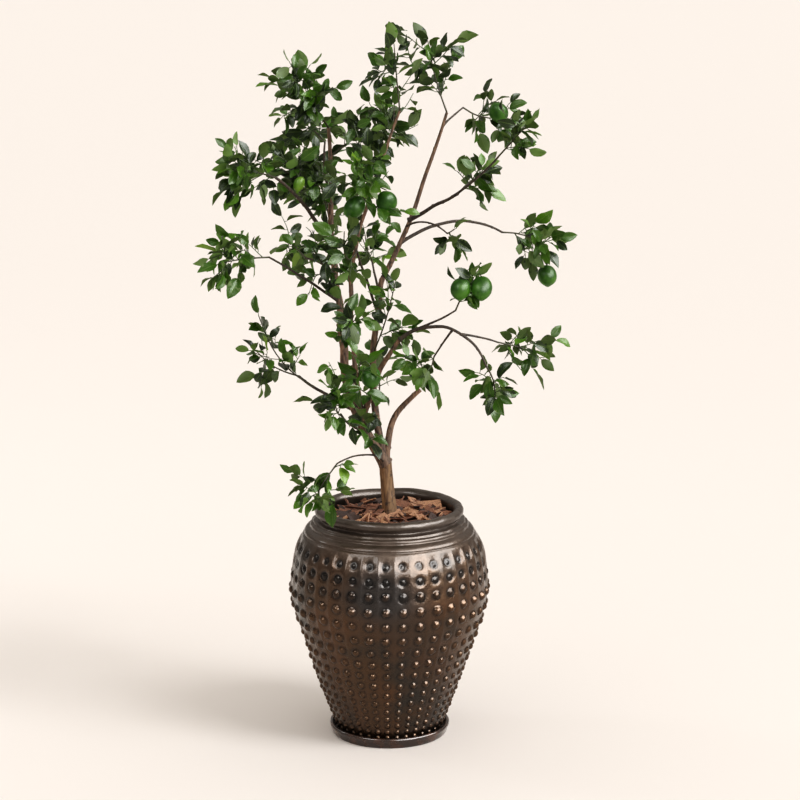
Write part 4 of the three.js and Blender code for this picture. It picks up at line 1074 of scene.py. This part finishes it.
def leaf_blades(rows):
    """Points of many leaves at once: leaf, point, xyz. At station t, from root to tip, the rib lies on
    an arc that turns down by the bend in all. The half width is
    width x length x sin(pi t^0.9)^0.8 x (1 - 0.2 t^3). An edge stands up by the fold times its half
    width, and half way out the blade is pillowed; the edges wave as sines, and the blade twists."""
    base, blade, face, length = rows[:, None, :3], rows[:, 3:6], rows[:, 6:9], rows[:, 9, None]
    bend = LEAF_BEND + LEAF_BEND_MORE * rows[:, 11, None] ** 1.3
    fold = LEAF_FOLD + LEAF_FOLD_MORE * rows[:, 12, None]
    twist = LEAF_TWIST * (rows[:, 13, None] - 0.5)
    half = (LEAF_HALF_WIDTH + LEAF_HALF_WIDTH_MORE * rows[:, 14, None]) * length
    phase = 2 * math.pi * rows[:, 15, None]
    lifted = blade * np.cos(bend / 2) + face * np.sin(bend / 2)
    normal = face * np.cos(bend / 2) - blade * np.sin(bend / 2)
    across = np.cross(face, blade)[:, None]
    t = np.concatenate([[0], LEAF_STATIONS, [1]])
    along_rib = length * np.sin(bend * t) / bend
    fall = length * (1 - np.cos(bend * t)) / bend
    rib = base + lifted[:, None] * along_rib[..., None] - normal[:, None] * fall[..., None]
    up = lifted[:, None] * np.sin(bend * t)[..., None] + normal[:, None] * np.cos(bend * t)[..., None]
    turn = (twist * t)[..., None]
    aside = across * np.cos(turn) + up * np.sin(turn)
    up = up * np.cos(turn) - across * np.sin(turn)
    shape = np.sin(math.pi * t**0.9) ** 0.8 * (1 - 0.2 * t**3)
    width = half * np.clip(shape, 0, 1)
    rows_out = []
    for u in (-1, -0.5, 0, 0.5, 1):
        wave = EDGE_WAVE * np.sin(2 * math.pi * (1.4 * t + 0.3 * u) + phase) * u * u
        pillow = PILLOW * (abs(u) == 0.5) - PILLOW * (u == 0)
        rise = width * (fold * abs(u) + wave + pillow)
        rows_out.append(rib + aside * (u * width)[..., None] + up * rise[..., None])
    under = rib - up * (LEAF_THICKNESS + PILLOW * width)[..., None]
    top = np.stack([row[:, 1:-1] for row in rows_out], 2).reshape(len(rows), -1, 3)
    return np.concatenate([top, under[:, 1:-1], rib[:, :1], rib[:, -1:]], 1)


def leaf_faces(count):
    """Faces of every leaf: four strips on top and two below, each ending in the root and the tip.
    Returns quads, triangles and which material each face has, 0 on top and 1 below."""
    stations = len(LEAF_STATIONS)
    top = np.arange(stations * 5).reshape(stations, 5)
    low = stations * 5 + np.arange(stations)
    root, tip = stations * 6, stations * 6 + 1
    strips = [(top[:, j], top[:, j + 1]) for j in range(4)] + [(low, top[:, 0]), (top[:, 4], low)]
    quads, fans = [], []
    for near, far in strips:
        quads.append(np.stack([near[:-1], far[:-1], far[1:], near[1:]], 1))
        fans += [(root, far[0], near[0]), (near[-1], far[-1], tip)]
    quads = np.concatenate(quads)[:, ::-1]
    fans = np.array(fans)[:, ::-1]
    below = [np.repeat([0, 1], [4 * (stations - 1), 2 * (stations - 1)]), np.repeat([0, 1], [8, 4])]
    shift = (stations * 6 + 2) * np.arange(count)[:, None, None]
    faces = [(quads + shift).reshape(-1, 4), (fans + shift).reshape(-1, 3)]
    return faces, np.concatenate([np.tile(b, count) for b in below])


def leaf_places():
    """Each point's place on its blade, as (across, along) from 0 to 1, for the veins."""
    across = np.tile([0, 0.25, 0.5, 0.75, 1], len(LEAF_STATIONS))
    top = np.stack([across, np.repeat(LEAF_STATIONS, 5)], 1)
    under = np.stack([np.full(len(LEAF_STATIONS), 0.5), LEAF_STATIONS], 1)
    return np.concatenate([top, under, [(0.5, 0), (0.5, 1)]])


# Lemon leaf: a waxy cuticle over deep green, so the eye gets a soft gloss on top, with a pale rib and
# nine pairs of side veins, and a paler, duller underside. The side veins lean to the tip by their
# slope, and 57 radians along the blade make nine of them.
VEIN_SLOPE = 0.45
VEIN_PHASE = 57
VEIN_SHOWS = 0.35
LEAF_CLOUD = 0.0286
CLOUD_SHADE = 0.55


def leaf_skin(name, colour_hex, vein_hex, roughness):
    material, shader, place = new_material(name, Roughness=roughness, IOR=1.42)
    on_blade = add_node(material, "ShaderNodeUVMap", {"uv_map": "blade"}).outputs[0]
    split = add_node(material, "ShaderNodeSeparateXYZ", Vector=on_blade)
    centred = add_node(material, "ShaderNodeMath", {"operation": "SUBTRACT"},
                       in0=split.outputs[0], in1=0.5)
    off_rib = add_node(material, "ShaderNodeMath", {"operation": "ABSOLUTE"}, in0=centred.outputs[0])
    rib = add_node(material, "ShaderNodeMapRange", in0=off_rib.outputs[0], in1=0.012, in2=0.045,
                   in3=1, in4=0)
    back = add_node(material, "ShaderNodeMath", {"operation": "MULTIPLY"},
                    in0=off_rib.outputs[0], in1=VEIN_SLOPE)
    place_on = add_node(material, "ShaderNodeMath", {"operation": "SUBTRACT"},
                        in0=split.outputs[1], in1=back.outputs[0])
    phase = add_node(material, "ShaderNodeMath", {"operation": "MULTIPLY"},
                     in0=place_on.outputs[0], in1=VEIN_PHASE)
    swing = add_node(material, "ShaderNodeMath", {"operation": "SINE"}, in0=phase.outputs[0])
    side = add_node(material, "ShaderNodeMapRange", in0=swing.outputs[0], in1=0.8, in2=1, in4=0.45)
    veins = add_node(material, "ShaderNodeMath", {"operation": "MAXIMUM"},
                     in0=rib.outputs[0], in1=side.outputs[0])
    cloud = add_node(material, "ShaderNodeTexNoise", Vector=place, Scale=1 / LEAF_CLOUD, Detail=2)
    shade = add_node(material, "ShaderNodeMapRange", in0=cloud.outputs[0], in1=0.3, in2=0.7,
                     in3=0, in4=0.3)
    dark = [c * CLOUD_SHADE for c in linear(colour_hex)[:3]] + [1]
    green = add_node(material, "ShaderNodeMix", COLOURS, in0=shade.outputs[0],
                     in6=linear(colour_hex), in7=dark)
    share = add_node(material, "ShaderNodeMath", {"operation": "MULTIPLY"},
                     in0=veins.outputs[0], in1=VEIN_SHOWS)
    colour = add_node(material, "ShaderNodeMix", COLOURS, in0=share.outputs[0],
                      in6=green.outputs[2], in7=linear(vein_hex))
    bump = add_node(material, "ShaderNodeBump", {"invert": True}, Strength=0.35, Distance=0.0006,
                    Height=veins.outputs[0])
    link_shader(material, shader, Base_Color=colour.outputs[2], Normal=bump.outputs[0])
    return material


leaf_rows = np.array(leaf_rows)
tint_edges = [edge for edge, _, _ in LEAF_TINTS.values()][1:]
tint_of = np.digitize(leaf_rows[:, 10], tint_edges)
for k, (tint, (_, colour_hex, under_hex)) in enumerate(LEAF_TINTS.items()):
    rows = leaf_rows[tint_of == k]
    faces, below = leaf_faces(len(rows))
    piece = new_piece(
        f"leaves_{tint}", leaf_blades(rows).reshape(-1, 3), faces,
        [leaf_skin(f"{tint}_leaf_top", colour_hex, "#84a350", 0.3),
         leaf_skin(f"{tint}_leaf_underside", under_hex, "#6d8645", 0.6)],
        masses_replaced, {"blade": np.tile(leaf_places(), (len(rows), 1))}, below)
    piece.data.set_sharp_from_angle(angle=math.radians(75))

# Fruit: unripe lemons, round with a low nipple, 46 to 51 mm across, and one young fruit of 27 mm. Each
# hangs or stands on its own stalk from the nearest place on its mass's stem.
FRUIT_TALL = 1.06
YOUNG_FRUIT_TALL = 1.3
YOUNG_FRUIT = 0.03
NIPPLE = 0.11
YOUNG_NIPPLE = 0.3
CROWN_DIP = 0.03
FRUIT_LEAN = 0.25
FRUIT_UNEVEN = 0.012
FRUIT_STALK = 0.0013
RIND_CLOUD = 0.0263
RIND_GLAND = 0.001613


def fruit_mesh(x, y, z, diameter, seed):
    """A turned fruit. At angle a from the lower pole the radius is half the diameter x
    (1 + nipple exp(-(a / 0.3)^2) - dip exp(-((pi - a) / 0.25)^2)), made taller, a little uneven, and
    leaned by shearing it aside."""
    young = diameter < YOUNG_FRUIT
    nipple, tall = (YOUNG_NIPPLE, YOUNG_FRUIT_TALL) if young else (NIPPLE, FRUIT_TALL)
    a = np.linspace(0.03, math.pi - 0.03, 34)
    swell = 1 + nipple * np.exp(-((a / 0.3) ** 2)) - CROWN_DIP * np.exp(-(((math.pi - a) / 0.25) ** 2))
    radius = diameter / 2 * swell
    angle = np.linspace(0, 2 * math.pi, 48, endpoint=False)
    places = turned((radius * np.sin(a))[:, None], (-radius * np.cos(a) * tall)[:, None], angle)
    ends = np.array([[0, 0, -radius[0] * tall], [0, 0, radius[-1] * tall]])
    points = np.concatenate([places.reshape(-1, 3), ends])
    points *= 1 + FRUIT_UNEVEN * waves(points / diameter, 0.8, seed)[:, None]
    lean = np.random.default_rng(seed).uniform(-FRUIT_LEAN, FRUIT_LEAN, 2)
    points[:, :2] += lean * points[:, 2:]
    return points + [x, y, z], ring_faces(len(a), len(angle))


def fruit_stalk(name, x, y, z, diameter):
    """A stalk from the nearest place on the mass's stem, bowed out and ending in the fruit's top."""
    crown = np.array([x, y, z + diameter * 0.5])
    curve = curve_through(stems[name], 40)
    near = curve[np.linalg.norm(curve - crown, axis=1).argmin()]
    middle = (near + crown) / 2 + [0, 0, 0.012]
    return curve_through([near, middle, crown + [0, 0, 0.002]], 9)


# Lemon rind, unripe: waxy deep green with clouds of a lighter one, over oil glands 1.6 mm apart, so
# the eye gets a pebbled sheen
def green_rind(name, deep, light):
    material, shader, place = new_material(name, Roughness=0.36, IOR=1.4)
    cloud = add_node(material, "ShaderNodeTexNoise", Vector=place, Scale=1 / RIND_CLOUD, Detail=3)
    shade = add_node(material, "ShaderNodeMapRange", in0=cloud.outputs[0], in1=0.38, in2=0.66)
    colour = add_node(material, "ShaderNodeMix", COLOURS, in0=shade.outputs[0],
                      in6=linear(deep), in7=linear(light))
    glands = add_node(material, "ShaderNodeTexVoronoi", Vector=place, Scale=1 / RIND_GLAND)
    bump = add_node(material, "ShaderNodeBump", Strength=0.3, Distance=0.0004, Height=glands.outputs[0])
    link_shader(material, shader, Base_Color=colour.outputs[2], Normal=bump.outputs[0])
    return material


fruit_parts = {True: [], False: []}
fruit_stalks = []
for name, group in FRUIT.items():
    for x, y, z, diameter in group:
        fruit = fruit_mesh(x, y, z, diameter, 60 + len(fruit_stalks))
        fruit_parts[diameter < YOUNG_FRUIT].append(fruit)
        fruit_stalks.append(fruit_stalk(name, x, y, z, diameter))
points, faces = joined(fruit_parts[False])
new_piece("green_lemons", points, faces, [green_rind("unripe_lemon_rind", "#2e5812", "#4b7a22")],
          masses_replaced)
points, faces = joined(fruit_parts[True])
new_piece("young_lemon", points, faces, [green_rind("young_lemon_rind", "#5f8a28", "#7fa33a")],
          masses_replaced)
paths = np.array(fruit_stalks)
points, faces = tubes(paths, np.full(paths.shape[:2], FRUIT_STALK), 7)
new_piece("fruit_stalks", points, faces, [twig_bark("green_fruit_stalk", "#45601b", "#2b3a10")],
          masses_replaced)

# Floor: plain pale paper under the saucer, seamless to far behind the plant, so that it fills the
# picture
FLOOR_HALF = 40
floor_mesh = bpy.data.meshes.new("floor")
floor_mesh.from_pydata([(-FLOOR_HALF, -FLOOR_HALF, 0), (FLOOR_HALF, -FLOOR_HALF, 0),
                        (FLOOR_HALF, FLOOR_HALF, 0), (-FLOOR_HALF, FLOOR_HALF, 0)], [], [(0, 1, 2, 3)])
paper = new_material("matt_cream_paper", Base_Color=linear("#f3ede8"), Roughness=0.95)[0]
floor_mesh.materials.append(paper)
floor = bpy.data.objects.new("floor", floor_mesh)
bpy.context.scene.collection.objects.link(floor)

# Light: a key from high on the right, in front, wide enough for soft shadows and broad highlights, in
# a studio that is bright overhead and dim at the walls. Two soft boxes give the glaze long
# reflections, and three glint boxes, which only gloss sees, give beads and leaves small highlights.
KEY_BEARING = math.radians(58)
KEY_RISE = math.radians(48)
toward_key = Vector((math.sin(KEY_BEARING) * math.cos(KEY_RISE),
                        -math.cos(KEY_BEARING) * math.cos(KEY_RISE), math.sin(KEY_RISE)))
# The room's strength at the walls and overhead, the rise in direction between which it grows, and the
# even strength at which the camera itself sees it, so that no horizon shows
ROOM_WALLS, ROOM_OVERHEAD = 0.30, 0.85
ROOM_RISE = (0.1, 0.7)
SEEN_BACKDROP = 0.9
world = bpy.data.worlds.new("studio_room")
world.use_nodes = True
background = world.node_tree.nodes["Background"]
background.inputs["Color"].default_value = linear("#fff8f0")
direction = add_node(world, "ShaderNodeTexCoord").outputs["Generated"]
height = add_node(world, "ShaderNodeSeparateXYZ", Vector=direction).outputs[2]
brightness = add_node(world, "ShaderNodeMapRange", {"interpolation_type": "SMOOTHSTEP"},
                      in0=height, in1=ROOM_RISE[0], in2=ROOM_RISE[1], in3=ROOM_WALLS, in4=ROOM_OVERHEAD)
seen = add_node(world, "ShaderNodeLightPath").outputs["Is Camera Ray"]
strength = add_node(world, "ShaderNodeMapRange", in0=seen, in3=brightness.outputs[0], in4=SEEN_BACKDROP)
world.node_tree.links.new(strength.outputs[0], background.inputs["Strength"])
bpy.context.scene.world = world
for name, kind, place, aim, size, power in [
    ("key_soft_box", "SUN", toward_key, (0, 0, 0), math.radians(24), 1.25),
    ("glint_box_front", "SUN", (3.0, -4.3, 3.2), (0, 0, 0.4), math.radians(42), 5.4),
    ("glint_box_side", "SUN", (5.2, -0.8, 3.8), (0, 0, 0.4), math.radians(38), 3.8),
    ("glint_box_left", "SUN", (-3.0, -3.4, 4.0), (0, 0, 0.4), math.radians(30), 1.5),
    ("right_soft_box", "AREA", (4.6, -2.2, 1.8), (0, 0, 0.4), 0.9, 34),
    ("left_soft_box", "AREA", (-4.4, 1.5, 3.2), (0, 0, 0.5), 0.6, 16),
]:
    lamp = bpy.data.lights.new(name, kind)
    if kind == "SUN":
        lamp.angle = size
    else:
        lamp.shape = "RECTANGLE"
        lamp.size = size
        lamp.size_y = 1.8 * size
    lamp.energy = power
    box = bpy.data.objects.new(name, lamp)
    box.location = place
    box.rotation_euler = (Vector(aim) - Vector(place)).to_track_quat("-Z", "Y").to_euler()
    box.visible_camera = False
    box.visible_diffuse = not name.startswith("glint")
    bpy.context.scene.collection.objects.link(box)

# Tone: plain sRGB, with the toe of a photograph, which deepens the darks and leaves the pale floor as
# it is
view = bpy.context.scene.view_settings
view.view_transform = "Standard"
view.use_curve_mapping = True
for tone, shown in ((0.05, 0.027), (0.18, 0.145), (0.5, 0.485)):
    view.curve_mapping.curves[3].points.new(tone, shown)
view.curve_mapping.update()
